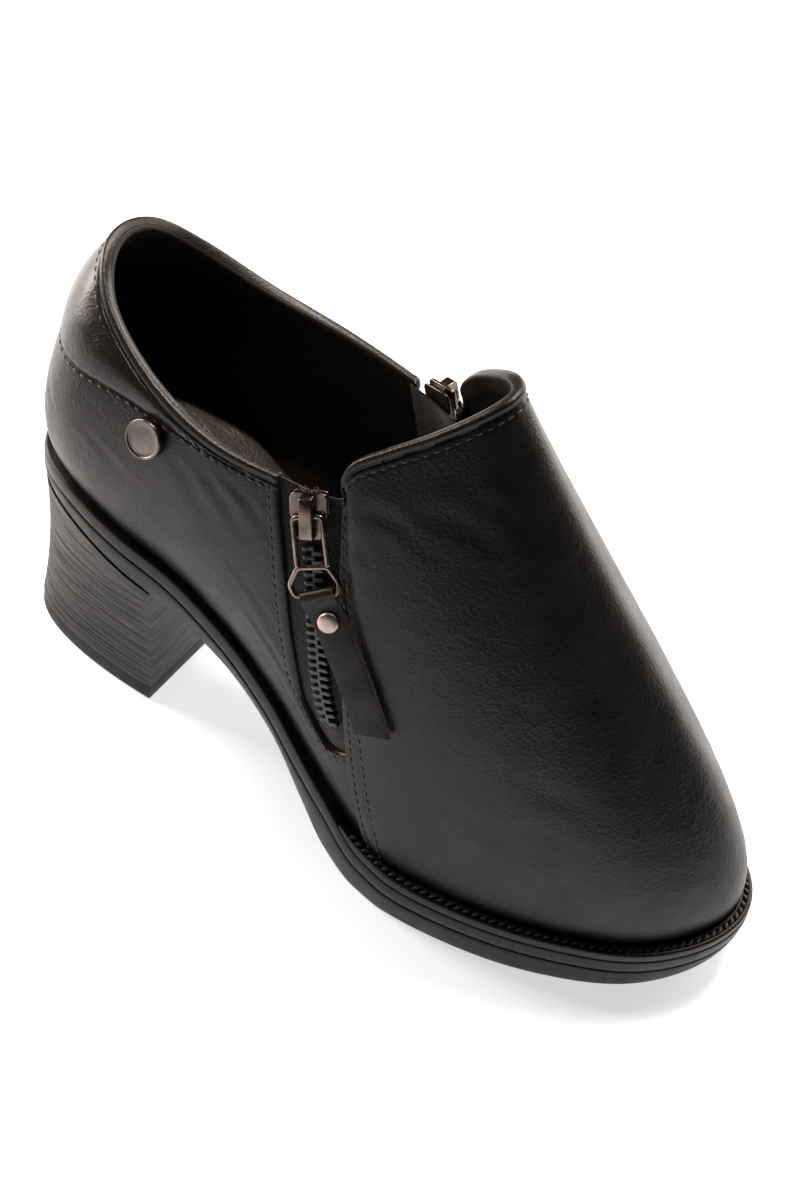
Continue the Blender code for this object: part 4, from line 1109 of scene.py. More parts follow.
def make_stitches():
    """Every row of thread on the upper."""
    parts = []
    for side in SIDES:
        for away in VAMP_STITCHES:
            u = np.full(120, side_of(VAMP_EDGE + away / SECTION_MM, side))
            parts.append(stitch_row(level_row(u, np.linspace(0.035, STITCH_TOP, 120)), VAMP_THREAD))
        h = np.linspace(SLOT_FOOT - 0.016, STITCH_TOP, 140)
        u = side_of(slot_edge(np.maximum(h, SLOT_FOOT)) - SLOT_STITCH / SECTION_MM, side)
        parts.append(stitch_row(level_row(u, h), QUARTER_THREAD))
        corner = float(slot_edge(SLOT_FOOT)) - 1.6 / SECTION_MM
        u = side_of(np.linspace(corner, VAMP_EDGE - 0.02, 20), side)
        parts.append(stitch_row(level_row(u, SLOT_FOOT - SLOT_STITCH / HEIGHT_MM), QUARTER_THREAD))
    start = VAMP_EDGE + 2.4 / SECTION_MM
    parts.append(stitch_row(collar_row(np.linspace(start, TURN - start, 260), COLLAR_STITCH), VAMP_THREAD))
    u = np.linspace(-4.85, 4.85, 300)
    parts.append(stitch_row(collar_row(u, COLLAR_STITCH), COLLAR_PAD * 0.72 * extra("pad", u) - 0.02))
    u = np.linspace(-4.2, 4.2, 260)
    below_seam = np.column_stack([u, extra("seam", u) - 1.5 / HEIGHT_MM])
    parts.append(stitch_row(below_seam, -0.06, pitch=3.2, long=2.4))
    return joined("upper_stitches", parts, "thread")


# The sole.


def outline(u, inset):
    """The sole's rim in plan at section u, moved in by inset."""
    small = 0.05
    u = np.asarray(u, float)
    foot = round_ring(RING, u)[..., 0, :2]
    ahead = round_ring(RING, u + small)[..., 0, :2] - round_ring(RING, u - small)[..., 0, :2]
    out = unit(np.stack([ahead[..., 1], -ahead[..., 0]], axis=-1))
    margin = extra("margin", u)
    return foot + out * (margin - inset)[..., None]


def ring_at(plan, height):
    return np.column_stack([plan, np.broadcast_to(height, (len(plan),))])


def rim_rings(u, level, steps, tuck=0):
    """Rings round the foot at (inset, rise) steps from a level, all moved in by tuck."""
    return [ring_at(outline(u, tuck + inset), level + rise) for inset, rise in steps]


def stacked_rings(name, rings, finish_name, top_lift=None, foot_lift=None, across=14):
    """A body of rings round the foot, with gridded caps whose inner points may be moved."""
    count = len(rings[0])
    half = count // 2
    points = list(np.concatenate(rings))
    faces = ring_faces(len(rings), count, ends=False)
    for which, lift, flip in ((0, top_lift, True), (len(rings) - 1, foot_lift, False)):
        ring = rings[which]
        base = which * count
        t = np.linspace(0, 1, across)[1:-1]
        rows = []
        for k in range(1, half):
            a = ring[k]
            b = ring[count - k]
            inner = a[None] * (1 - t[:, None]) + b[None] * t[:, None]
            if lift is not None:
                inner = lift(inner, t)
            start = len(points)
            points.extend(inner)
            rows.append([base + k, *range(start, start + len(inner)), base + count - k])
        for first, second in zip(rows, rows[1:]):
            for j in range(across - 1):
                face = (first[j], first[j + 1], second[j + 1], second[j])
                faces.append(face if flip else face[::-1])
        for row, apex in ((rows[0], base), (rows[-1], base + half)):
            for j in range(across - 1):
                face = (apex, row[j + 1], row[j]) if apex == base else (apex, row[j], row[j + 1])
                faces.append(face if flip else face[::-1])
    return mesh_object(name, np.array(points), faces, finish_name, sharp=55)


def sole_sections(count=SOLE_SECTIONS):
    """Sections round the foot, even along the rim."""
    many = np.linspace(0, TURN, 4001)
    length = path_lengths(outline(many, 0))
    half = np.interp(LAST_ROW, many, length)
    first = np.interp(np.linspace(0, half, count // 2 + 1), length, many)
    second = np.interp(np.linspace(half, length[-1], count // 2 + 1), length, many)
    return np.concatenate([first[:-1], second[:-1]])


def make_midsole():
    u = sole_sections()
    x = outline(u, 0)[:, 0]
    top = midsole_top(x)
    foot = midsole_foot(x)
    rings = rim_rings(u, top, MIDSOLE_TOP_EDGE)
    rings += rim_rings(u, (top + foot) / 2, MIDSOLE_BULGE)
    rings += rim_rings(u, foot, MIDSOLE_FOOT_EDGE)
    return stacked_rings("midsole_band", rings, "midsole")


def make_outsole():
    u = sole_sections()
    x = outline(u, 0)[:, 0]
    tuck = sole_line("tuck", x)
    top = midsole_foot(x) - GAP
    tread = sole_line("tread_z", x)
    rings = rim_rings(u, top, OUTSOLE_TOP_EDGE)
    for share in (0.2, 0.4, 0.6, 0.8):
        inset = tuck * (0.06 + 0.94 * share**1.6)
        rings.append(ring_at(outline(u, inset), (top - 0.5) * (1 - share) + (tread + 1.3) * share))
    rings += rim_rings(u, tread, TREAD_EDGE, tuck)

    def tread_ribs(inner, t):
        """Shallow cross ribs under the forefoot, inside a plain border."""
        inner = inner.copy()
        ahead = inner[:, 0]
        ribs = 0.5 + 0.5 * np.sin(ahead * 2 * math.pi / RIB_PITCH)
        border = ease((t - 0.06) / 0.05) * ease((0.94 - t) / 0.05)
        where = ease((ahead - RIBS_FROM) / 6) * ease((RIBS_TO - ahead) / 6)
        inner[:, 2] += RIB_DEEP * ease((ribs - 0.35) / 0.3) * border * where
        return inner

    return stacked_rings("outsole_band", rings, "outsole", foot_lift=tread_ribs, across=30)


def make_insole():
    u = sole_sections(INSOLE_SECTIONS)
    inset = extra("margin", u) + WALL + 0.75
    base = midsole_top(outline(u, inset)[:, 0]) + FOOT_GAP
    rings = rim_rings(u, base, INSOLE_EDGE, inset)

    def dish(inner, t):
        """The foot's bed is a little hollow."""
        inner = inner.copy()
        inner[:, 2] -= BED_HOLLOW * np.sin(math.pi * t) ** 2 - slow_waves(inner, BED_WAVE_SIZE)
        return inner

    return stacked_rings("insole_sock", rings, "sock", top_lift=dish, across=26)


def make_welt():
    """The rand round the forefoot, with a rounded edge and a channel for its stitches."""
    u = np.linspace(VAMP_EDGE - 0.25, TURN - VAMP_EDGE + 0.25, 420)
    outer = outline(u, 0.35)
    inner = outline(u, extra("margin", u) - VAMP_OVERLAY - 0.75)
    base = midsole_top(outer[:, 0]) + WELT_LIFT
    inner_base = midsole_top(inner[:, 0]) + WELT_LIFT
    thick = np.maximum(WELT_THICK * welt_share(outer[:, 0]) - 0.1, WELT_THINNEST)
    rings = []
    for across, rise in WELT_PROFILE:
        plan = outer * (1 - across) + inner * across
        level = base * (1 - across) + inner_base * across + thick * rise
        rings.append(ring_at(plan, level))
    points = np.stack(rings, axis=1)
    count, sides = points.shape[:2]
    faces = ring_faces(count, sides, mirrored=True)
    welt = mesh_object("welt_band", points.reshape(-1, 3), faces, "welt leather", sharp=60)
    stitches = welt_stitches(outer, inner, base, inner_base, thick)
    return welt, stitches


def welt_stitches(outer, inner, base, inner_base, thick):
    """Slanted thick stitches that lie across the welt's channel."""
    share = WELT_CHANNEL
    plan = outer * (1 - share) + inner * share
    middle = ring_at(plan, base * (1 - share) + inner_base * share + thick * 0.90)
    cross = unit(np.column_stack([inner - outer, np.zeros(len(outer))]))
    where, read = along_path(np.concatenate([middle, cross], axis=1), WELT_STITCH_PITCH)
    parts = []
    for s in where[2:-2]:
        here = read(s + np.array(WELT_THREAD_AT))
        line = here[:, :3] + here[:, 3:] * np.array(WELT_THREAD_LEAN)[:, None]
        line[:, 2] += WELT_THREAD_ARCH
        parts.append(tube(line, WELT_THREAD, sides=8))
    return joined("welt_stitches", parts, "thread")


# The heel.


def heel_head(turns):
    """The block's upper outline, from the lateral end of the breast (-1) round the back to the medial (1)."""
    many = np.linspace(0, 4, 400)
    tuck = sole_line("tuck", outline(many, 0)[:, 0])
    lateral = outline(many, tuck + HEAD_GAP)
    medial = outline(-many, tuck + HEAD_GAP)
    lateral_end = float(np.interp(BREAST_X, lateral[:, 0], many))
    medial_end = float(np.interp(BREAST_X, medial[:, 0], many))
    turn = np.sin(np.abs(turns) * math.pi / 2) ** 1.2
    u = np.where(turns < 0, lateral_end * turn, -medial_end * turn)
    tuck = sole_line("tuck", outline(u, 0)[:, 0])
    return outline(u, tuck + HEAD_GAP)


def heel_foot(turns, inset=0.0):
    angle = turns * math.pi / 2
    length = HEEL_FOOT_FRONT - HEEL_FOOT_BACK
    x = HEEL_FOOT_FRONT - inset - (length - 2 * inset) * np.abs(np.cos(angle)) ** 0.95
    y = HEEL_MIDDLE_Y + (HEEL_FOOT_HALF - inset) * np.sign(angle) * np.abs(np.sin(angle)) ** 0.72
    return np.column_stack([x, y])


def groove_depth(along, z):
    """Broken level grooves of a stacked heel."""
    depth = np.zeros(np.broadcast(along, z).shape)
    level = GROOVES_FROM
    k = 0
    while level < GROOVES_TO:
        wander = 0.35 * np.sin(along * 0.11 + 2.1 * k) + 0.2 * np.sin(along * 0.31 + 1.3 * k)
        strength = 0.5 + 0.5 * np.sin(along * (0.07 + 0.013 * (k % 5)) + 4.1 * k)
        strength = ease((strength - 0.15) / 0.5) * (0.55 + 0.45 * math.sin(7.7 * k) ** 2)
        depth += strength * bell(z - level - wander, GROOVE_HALF)
        level += GROOVE_STEP + GROOVE_STEP_MORE * math.sin(3.3 * k) ** 2
        k += 1
    return np.clip(depth, 0, 1.3)


def make_heel():
    """The block: lofted from the sole's edge to the floor outline, grooved round its sides and back."""
    turns = np.linspace(-1, 1, HEEL_SIDES)
    turns = np.sign(turns) * np.abs(turns) ** 0.9
    head = heel_head(turns)
    foot = heel_foot(turns)
    head_z = sole_line("tread_z", head[:, 0]) - GAP
    foot_z = LIFT_THICK + HEEL_SEAM
    length = path_lengths(head)
    centre = np.array([BREAST_X / 2, HEEL_MIDDLE_Y])
    outward = unit(head - centre)
    outward[0] = outward[-1] = 0
    rings = []
    for t in np.arange(HEEL_LEVELS + 1) / HEEL_LEVELS:
        plan = head * (1 - t) + foot * t
        waist = unit(plan - centre) * HEEL_WAIST * math.sin(math.pi * t)
        waist[:, 0] *= (plan[:, 0] < BREAST_X - 4)
        z = head_z * (1 - t) + foot_z * t
        band = ease((head_z - z - 4.2) / 0.8) * ease((z - foot_z - 2.2) / 0.8)
        corner = ease((BREAST_X - 1.2 - plan[:, 0]) / 2.0)
        depth = GROOVE_DEEP * groove_depth(length, z) * band * corner
        ledge = LEDGE * (1 - band) * corner
        rings.append(ring_at(plan - waist - outward * (depth - ledge)[:, None], z))
    return horseshoe("heel_block", rings, "stacked heel")


def half_cap(count, base):
    """Closes a horseshoe ring by joining its two sides rung by rung."""
    faces = []
    low, high = 0, count - 1
    while high - low > 2:
        faces.append((base + low, base + low + 1, base + high - 1, base + high))
        low += 1
        high -= 1
    faces.append((base + low, base + low + 1, base + high))
    return faces


def horseshoe(name, rings, finish_name):
    """A block from horseshoe rings, closed across its breast and over both ends."""
    count = len(rings[0])
    faces = ring_faces(len(rings), count, mirrored=True, ends=False)
    faces += [face[::-1] for face in half_cap(count, 0)]
    faces += half_cap(count, (len(rings) - 1) * count)
    return mesh_object(name, np.concatenate(rings), faces, finish_name, sharp=50)


def make_lift():
    turns = np.linspace(-1, 1, LIFT_SIDES)
    rings = [ring_at(heel_foot(turns, inset), z) for inset, z in LIFT_EDGE]
    return horseshoe("heel_lift", rings, "lift")


# The zips.


def side_of(u, side):
    return np.asarray(u, float) if side == "lateral" else TURN - np.asarray(u, float)


def chain_path(v, side, out):
    return on_last(side_of(VAMP_EDGE - slot_line("chain", v), side), v, out)


def make_tape(side):
    """The woven tape behind the slot, with a fold under the teeth."""
    heights = np.linspace(SLOT_FOOT - 0.02, TAPE_TOP, TAPE_ROWS)
    across = np.linspace(0, 1, TAPE_COLUMNS)
    left = slot_edge(heights) - TAPE_LAP
    right = VAMP_EDGE + TAPE_LAP
    u = left[:, None] * (1 - across) + right * across
    h = np.repeat(heights[:, None], TAPE_COLUMNS, axis=1)
    v = dipped(u, h)
    middle = VAMP_EDGE - slot_line("chain", h)
    away = (u - middle) * SECTION_MM
    rise = 0.22 * bell(away, 3.6) + 0.05 * np.sin(h * 260)
    out = rise - WALL - TAPE_GAP
    keep = np.ones((TAPE_ROWS - 1, TAPE_COLUMNS - 1), bool)
    us = side_of(u, side)
    outside = on_last(us, v, out)
    return shell("tape_" + side, outside, on_last(us, v, out - TAPE_THICK), keep, "zip tape", sharp=50)


def frame_at(v, side):
    """Origin and axes on the zip's middle line: toeward, down the zip and outward."""
    small = 0.01
    origin = chain_path(np.array(v), side, 0.0)
    u = side_of(VAMP_EDGE - slot_line("chain", v), side)
    outward = last_normal(u, v)
    down = chain_path(np.array(v - small), side, 0.0) - chain_path(np.array(v + small), side, 0.0)
    down = unit(down - outward * np.dot(down, outward))
    toeward = np.cross(outward, down) * (1 if side == "lateral" else -1)
    return origin, np.array([toeward, down, outward])


def from_frame(axes_frame, points):
    origin, axes = axes_frame
    return origin + np.asarray(points, float) @ axes


def tooth(axes_frame, sign):
    """One moulded tooth: a rounded bar that grips the tape and ends in a knob past the middle."""
    angle = (np.arange(TOOTH_SIDES) + 0.5) * 2 * math.pi / TOOTH_SIDES
    round_x = np.sign(np.cos(angle)) * np.abs(np.cos(angle)) ** 0.6
    round_y = np.sign(np.sin(angle)) * np.abs(np.sin(angle)) ** 0.6
    points = [
        np.column_stack([np.full(TOOTH_SIDES, sign * x), round_x * long, TOOTH_DEPTH + round_y * high])
        for x, long, high in TOOTH
    ]
    faces = ring_faces(len(TOOTH), TOOTH_SIDES, mirrored=True)
    return from_frame(axes_frame, np.concatenate(points)), faces


def make_teeth(side):
    """Both rows of teeth, which mesh down the middle."""
    many = np.linspace(CHAIN_FOOT, SLIDER_AT[side] - CHAIN_BELOW_SLIDER, 400)
    length = path_lengths(chain_path(many, side, 0.0))
    count = int(length[-1] / (TOOTH_PITCH / 2))
    parts = []
    for k in range(1, count):
        v = float(np.interp(k * TOOTH_PITCH / 2, length, many))
        parts.append(tooth(frame_at(v, side), 1 if k % 2 else -1))
    return joined("teeth_" + side, parts, "zip teeth", sharp=50)


def plate(plan, low, high, axes_frame, on_edge=False):
    """A flat plate between two heights, or on edge between two distances to the side."""
    points = [(h, x, y) if on_edge else (x, y, h) for h in (low, high) for x, y in plan]
    return from_frame(axes_frame, points), ring_faces(2, len(plan), mirrored=True)


def slider_plan(inset):
    """The slider's plate in plan: wide wings above and a narrow throat below."""
    start = -SLIDER_LONG / 2 + inset
    end = SLIDER_LONG / 2 - inset
    wide = SLIDER_WIDE / 2 - inset
    narrow = SLIDER_NARROW / 2 - inset
    wing = start + SLIDER_WING
    right = [
        (wide - 1.6, start), (wide - 0.45, start + 0.45), (wide, start + 1.6), (wide, wing - 1.6),
        (wide - 0.4, wing - 0.7), (narrow, wing), (narrow, end - 0.8), (narrow - 0.8, end),
    ]
    left = [(-x, y) for x, y in right[::-1]]
    return left[-1:] + right + left[:-1]


def make_slider(side):
    """The slider's two plates, its post and its bridge, with softened edges."""
    axes_frame = frame_at(SLIDER_AT[side], side)
    start = -SLIDER_LONG / 2
    top = PLATE_HIGH + BRIDGE_RISE
    low = PLATE_HIGH - 0.3
    first = start + 0.5
    last = first + BRIDGE_LONG
    arch = [
        (first, low), (first, top - 1.0), (first + 0.35, top - 0.35), (first + 1.0, top), (last - 1.8, top),
        (last - 0.6, top - 0.5), (last, top - 1.7), (last, low), (last - BRIDGE_THICK, low),
        (last - BRIDGE_THICK, top - BRIDGE_THICK - 0.9), (last - BRIDGE_THICK - 0.9, top - BRIDGE_THICK),
        (first + 3.4, top - BRIDGE_THICK), (first + 2.6, top - BRIDGE_THICK - 0.8), (first + 2.6, low),
    ]
    post = [(-1.8, start + 0.7), (1.8, start + 0.7), (1.0, start + 6.0), (-1.0, start + 6.0)]
    groups = {
        "slider_body_": plate(slider_plan(0.0), PLATE_HIGH - PLATE_THICK, PLATE_HIGH, axes_frame),
        "slider_back_": plate(slider_plan(0.05), PLATE_LOW, PLATE_LOW + PLATE_THICK * 0.7, axes_frame),
        "slider_post_": plate(post, PLATE_LOW + 0.3, PLATE_HIGH - 0.3, axes_frame),
        "slider_bridge_": plate(arch, -BRIDGE_WIDE / 2, BRIDGE_WIDE / 2, axes_frame, on_edge=True),
    }
    made = []
    for name, (points, faces) in groups.items():
        piece = mesh_object(name + side, points, faces, "dark nickel", sharp=40)
        soften(piece, 0.32 if "post" not in name else 0.15)
        made.append(piece)
    return made


def soften(piece, width, segments=3):
    """Rounds a piece's hard edges."""
    bevel = piece.modifiers.new("soft edges", "BEVEL")
    bevel.width = width * MM
    bevel.segments = segments
    bevel.limit_method = "ANGLE"
    bevel.angle_limit = math.radians(30)
    bevel.harden_normals = True


def swung_frame(side):
    """Axes of the pull tab from its hinge: beside, along the tab and up from it."""
    axes_frame = frame_at(SLIDER_AT[side], side)
    toeward, down, outward = axes_frame[1]
    swing = math.radians(SWING_DEGREES)
    lift = math.radians(LIFT_DEGREES)
    hanging = down * math.cos(swing) + toeward * math.sin(swing)
    beside = toeward * math.cos(swing) - down * math.sin(swing)
    hang = hanging * math.cos(lift) + outward * math.sin(lift)
    up = outward * math.cos(lift) - hanging * math.sin(lift)
    return from_frame(axes_frame, (0.0, HINGE_DOWN, HINGE_HEIGHT)), np.array([beside, hang, up])


def rounded(corners, radii, steps=8):
    """A closed outline whose corners are arcs."""
    corners = np.array(corners, float)
    radii = np.broadcast_to(radii, (len(corners),))
    points = []
    for k in range(len(corners)):
        here = corners[k]
        before = unit(corners[k - 1] - here)
        after = unit(corners[(k + 1) % len(corners)] - here)
        half = math.acos(float(np.clip(np.dot(before, after), -1, 1))) / 2
        reach = radii[k] / math.tan(half)
        start = here + before * reach
        end = here + after * reach
        for step in range(steps + 1):
            t = step / steps
            points.append(start * (1 - t) ** 2 + 2 * here * t * (1 - t) + end * t * t)
    return np.array(points)


def make_pull(side):
    """The metal stirrup and the loop under its crossbar."""
    axes_frame = swung_frame(side)
    bar = STIRRUP_LONG
    stirrup = rounded([(-STIRRUP_TOP_HALF, 0.0), (STIRRUP_TOP_HALF, 0.0), (STIRRUP_HALF, bar),
                       (-STIRRUP_HALF, bar)], STIRRUP_CORNER)
    low = bar + LOOP_LONG
    loop = rounded([(-STIRRUP_HALF, bar), (STIRRUP_HALF, bar), (LOOP_HALF + 0.6, bar + 4.6),
                    (LOOP_HALF - 0.4, low), (-LOOP_HALF + 0.4, low), (-LOOP_HALF - 0.6, bar + 4.6)],
                   LOOP_CORNER)
    parts = []
    for plan, radius in ((stirrup, WIRE), (loop, LOOP_WIRE)):
        path = from_frame(axes_frame, np.column_stack([plan, np.zeros(len(plan))]))
        parts.append(tube(path, radius, sides=16, closed=True))
    return joined("pull_" + side, parts, "dark nickel", TABS[side])


def strap_middle(reach):
    down = column(STRAP, STRAP_COLUMNS, "down")
    toeward = smooth_curve(down, column(STRAP, STRAP_COLUMNS, "toeward"), reach)
    height = smooth_curve(down, column(STRAP, STRAP_COLUMNS, "height"), reach)
    return np.column_stack([toeward, WIRE_DOWN + reach, height])


def make_strap():
    """One strip of leather, folded round the loop so that its two halves lie on each other."""
    axes_frame = swung_frame("lateral")
    fold = EYE_RADIUS + STRAP_LAYER / 2
    flat = STRAP_LAYER / 2 + STRAP_SEAM
    tail = np.linspace(STRAP_TAIL_FROM, STRAP_LONG, STRAP_TAIL_ROWS)
    flat_side = np.full(STRAP_TAIL_ROWS, flat)
    angle = np.linspace(STRAP_TURN, -STRAP_TURN, 33)
    turn_reach = -fold * np.cos(angle)
    turn_side = fold * np.sin(angle)
    blend = ease((turn_reach + 0.2) / 2.0)
    turn_side = turn_side * (1 - blend) + np.sign(turn_side) * np.maximum(np.abs(turn_side), flat) * blend
    join_reach = np.array([1.9, 2.6, 3.4])
    join_side = np.array([1.18, 0.86, 0.62])
    reach = np.concatenate([tail[::-1], join_reach[::-1], turn_reach, join_reach, tail])
    side = np.concatenate([flat_side, join_side[::-1], turn_side, -join_side, -flat_side])
    middle = strap_middle(reach)
    wave = 0.10 * np.sin(reach * 0.5) * ease((reach - 8) / 10)
    path = middle + np.column_stack([np.zeros(len(reach)), np.zeros(len(reach)), side + wave])
    ahead = unit(np.gradient(path, axis=0))
    lateral = unit(np.gradient(strap_middle(np.linspace(-3, STRAP_LONG, 200)), axis=0))
    lean = np.interp(reach, np.linspace(-3, STRAP_LONG, 200), lateral[:, 0])
    beside = np.column_stack([np.sqrt(1 - lean**2), -lean, np.zeros(len(reach))])
    up = unit(np.cross(beside, ahead))
    widths = np.append(np.linspace(-0.5, 0.42, 10), 0.5)
    half = STRAP_LAYER / 2
    outer = []
    inner = []
    for w in widths:
        edge = np.clip((np.abs(w) - 0.44) / 0.06, 0, 1)
        pinch = half * (1 - 0.18 * edge)
        cup = STRAP_CUP * (2 * w) ** 2 * ease((reach - 3) / 6)
        line = path + beside * (w * STRAP_WIDE) - np.column_stack([np.zeros((len(reach), 2)), cup])
        slant = ease((reach - STRAP_LONG + 4) / 4) * STRAP_SLANT * w * 2
        line = line + np.column_stack([lean * slant, np.sqrt(1 - lean**2) * slant, np.zeros(len(reach))])
        outer.append(line + up * pinch)
        inner.append(line - up * pinch)
    outside = from_frame(axes_frame, np.stack(outer, axis=1))
    inside = from_frame(axes_frame, np.stack(inner, axis=1))
    keep = np.ones((len(reach) - 1, len(widths) - 1), bool)
    strap = shell("strap_leather", outside, inside, keep, "strap leather", TABS["lateral"], sharp=40)
    strap.data.materials.append(finish("raw edge"))
    index = np.zeros(len(strap.data.polygons), np.int32)
    index[2 * keep.size:] = 1
    index[keep.shape[1] - 1:keep.size:keep.shape[1]] = 1
    strap.data.polygons.foreach_set("material_index", index)
    return strap


def turned(profile, axes_frame, sides=48):
    """A turned piece: (radius, height) points from its back to its face."""
    angle = np.arange(sides) * 2 * math.pi / sides
    points = [(r * math.cos(a), r * math.sin(a), h) for r, h in profile for a in angle]
    return from_frame(axes_frame, points), ring_faces(len(profile), sides, mirrored=True)


def make_stud():
    """The domed stud on the strap, with a fine collar round it."""
    axes_frame = swung_frame("lateral")
    toeward, down, height = strap_middle(np.array([STUD_DOWN]))[0]
    base = 2 * (STRAP_LAYER / 2 + STRAP_SEAM) + STRAP_LAYER / 2 - STUD_SINKS
    centre = from_frame(axes_frame, (toeward, down, height + base))
    points, faces = turned(STUD_PROFILE, (centre, axes_frame[1]))
    return mesh_object("stud", points, faces, "brushed nickel", TABS["lateral"], 50)


def make_badge():
    """A round plate with a raised rim and a plain, slightly dished face."""
    u = np.array(BADGE_ROW)
    v = np.array(BADGE_UP)
    outward = last_normal(u, v)
    along = unit(np.cross(np.array([0.0, 0.0, 1.0]), outward))
    axes = np.array([along, np.cross(outward, along), outward])
    centre = on_last(u, v, BADGE_OUT)
    points, faces = turned(BADGE_PROFILE, (centre, axes), 72)
    return mesh_object("badge_plate", points, faces, "badge nickel", sharp=50)


def make_fray(side):
    """The tape's cut end over the slider: short singed fibres."""
    rng = np.random.default_rng(FIBRE_SEEDS[side])
    axes_frame = frame_at(min(SLIDER_AT[side] + FRAY_ABOVE, 0.99), side)
    parts = []
    for _ in range(FIBRES):
        x = rng.uniform(-2.6, 2.9)
        y = rng.uniform(-0.8, 0.6)
        lean = rng.uniform(-0.9, 0.9)
        tall = rng.uniform(0.9, 2.1)
        t = np.linspace(0, 1, 5)
        curl = rng.uniform(-0.5, 0.7)
        across = x + lean * t + 0.3 * curl * np.sin(3 * t)
        line = np.column_stack([across, y - tall * t, -1.2 + 1.3 * t + curl * t * t])
        parts.append(tube(from_frame(axes_frame, line), 0.12 * (1 - 0.5 * t), sides=5))
    return joined("tape_fray_" + side, parts, "tan fray")


# The stage.


def add_light(name, kind, place, target, power):
    """A light that shines from a place to a target. Returns its settings."""
    data = bpy.data.lights.new(name, kind)
    data.energy = power
    data.color = LIGHT_COLOUR
    lamp = bpy.data.objects.new(name, data)
    lamp.location = place
    lamp.rotation_euler = (Vector(target) - Vector(place)).to_track_quat("-Z", "Y").to_euler()
    bpy.context.scene.collection.objects.link(lamp)
    return data


def area_light(name, place, target, size, power):
    data = add_light(name, "AREA", place, target, power)
    data.shape = "RECTANGLE"
    data.size, data.size_y = size


def snoot_light(power):
    """A narrow light from above, which reaches the insole through the collar."""
    data = add_light("snoot", "SPOT", SNOOT_PLACE, SNOOT_TARGET, power)
    data.spot_size = math.radians(SNOOT_DEGREES)
    data.spot_blend = 0.8
    data.shadow_soft_size = 0.02

def make_camera():
    """The camera above the boot's outer side, with the whole boot in the frame."""
    data = bpy.data.cameras.new("camera")
    data.sensor_width = SENSOR
    data.sensor_fit = "AUTO"
    data.lens = CAMERA_LENS
    data.clip_start = 0.01
    camera = bpy.data.objects.new("camera", data)
    data.shift_x, data.shift_y = CAMERA_SHIFT
    right, down, forward = (Vector(row) for row in CAMERA_ROWS)
    turn = Matrix((right, -down, -forward)).transposed()
    place = Vector(to_scene(CAMERA_PLACE))
    camera.matrix_world = Matrix.Translation(place) @ turn.to_4x4()
    bpy.context.scene.collection.objects.link(camera)
    bpy.context.scene.camera = camera


def make_floor():
    mesh = bpy.data.meshes.new("floor")
    half = FLOOR_HALF
    corners = [(-half, -half, 0), (half, -half, 0), (half, half, 0), (-half, half, 0)]
    mesh.from_pydata(corners, [], [(0, 1, 2, 3)])
    made = Finish("floor paper", (0.80, 0.86, 0.93), 0.8, specular=0.1)
    made.shader.inputs["Emission Color"].default_value = (0.97, 0.98, 1.0, 1.0)
    made.shader.inputs["Emission Strength"].default_value = FLOOR_GLOW
    made.bump(made.noise(700.0, detail=2.0), 0.02, 0.1)
    mesh.materials.append(made.material)
    floor = bpy.data.objects.new("floor", mesh)
    floor.location.z = -FLOOR_DROP
    bpy.context.scene.collection.objects.link(floor)


def make_world(strength):
    world = bpy.data.worlds.new("studio")
    world.use_nodes = True
    background = world.node_tree.nodes["Background"]
    background.inputs["Color"].default_value = (0.96, 0.97, 1.0, 1.0)
    background.inputs["Strength"].default_value = strength
    bpy.context.scene.world = world


# The add-on.

def tone_property(name, description, default):
    return bpy.props.FloatVectorProperty(
        name=name, description=description, subtype="COLOR", size=3, default=default, min=0.0, max=1.0)


def power_property(name, description, default):
    return bpy.props.FloatProperty(
        name=name, description=description, subtype="POWER", default=default, min=0.0)


class BOOT_PG_leather(bpy.types.PropertyGroup):
    dark: tone_property("Dark tone", "Leather colour in its darker patches", (0.0032, 0.0026, 0.0023))
    light: tone_property("Light tone", "Leather colour in its lighter patches", (0.0056, 0.0044, 0.0037))
    roughness: bpy.props.FloatProperty(
        name="Roughness", description="How matt the leather is", subtype="FACTOR", default=0.40,
        min=0.1, max=0.9)


class BOOT_PG_stage(bpy.types.PropertyGroup):
    key_power: power_property("Key light", "Power of the upright light beyond the heel", 14.0)
    rim_power: power_property("Rim light", "Power of the low light beyond the inner side", 9.0)
    far_power: power_property("Far light", "Power of the high light beyond the inner side", 12.0)
    fill_power: power_property("Fill light", "Power of the low light beside the sole", 0.6)
    snoot_power: power_property("Snoot", "Power of the narrow light into the collar", 26.0)
    world_strength: bpy.props.FloatProperty(
        name="Room light", description="Brightness of the white room", subtype="FACTOR", default=0.04,
        min=0.0, max=2.0)


def show(piece, slot, *nodes):
    """Hides the solids that a piece stands for."""
    if nodes:
        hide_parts(*nodes)


class BOOT_OT_upper(bpy.types.Operator):
    """Makes the quarters, the vamp, the lining and their stitches"""
    bl_idname = "boot.upper"
    bl_label = "Upper"

    def execute(self, context):
        show(make_quarters(), "upper_leather", "upper")
        collar_pad = make_collar_pad()
        show(collar_pad, "upper_leather")
        show(make_vamp(), "upper_leather", "upper")
        for lining in make_linings():
            show(lining, "upper_leather")
        show(make_stitches(), "upper_leather")
        return {"FINISHED"}


class BOOT_OT_sole(bpy.types.Operator):
    """Makes the welt, the two layers of the sole and the insole"""
    bl_idname = "boot.sole"
    bl_label = "Sole"

    def execute(self, context):
        show(make_midsole(), "midsole_rubber", "midsole")
        show(make_outsole(), "outsole_rubber", "outsole")
        show(make_insole(), "sock_leather", "insole")
        welt, stitches = make_welt()
        show(welt, "welt_leather", "welt")
        show(stitches, "welt_leather")
        return {"FINISHED"}


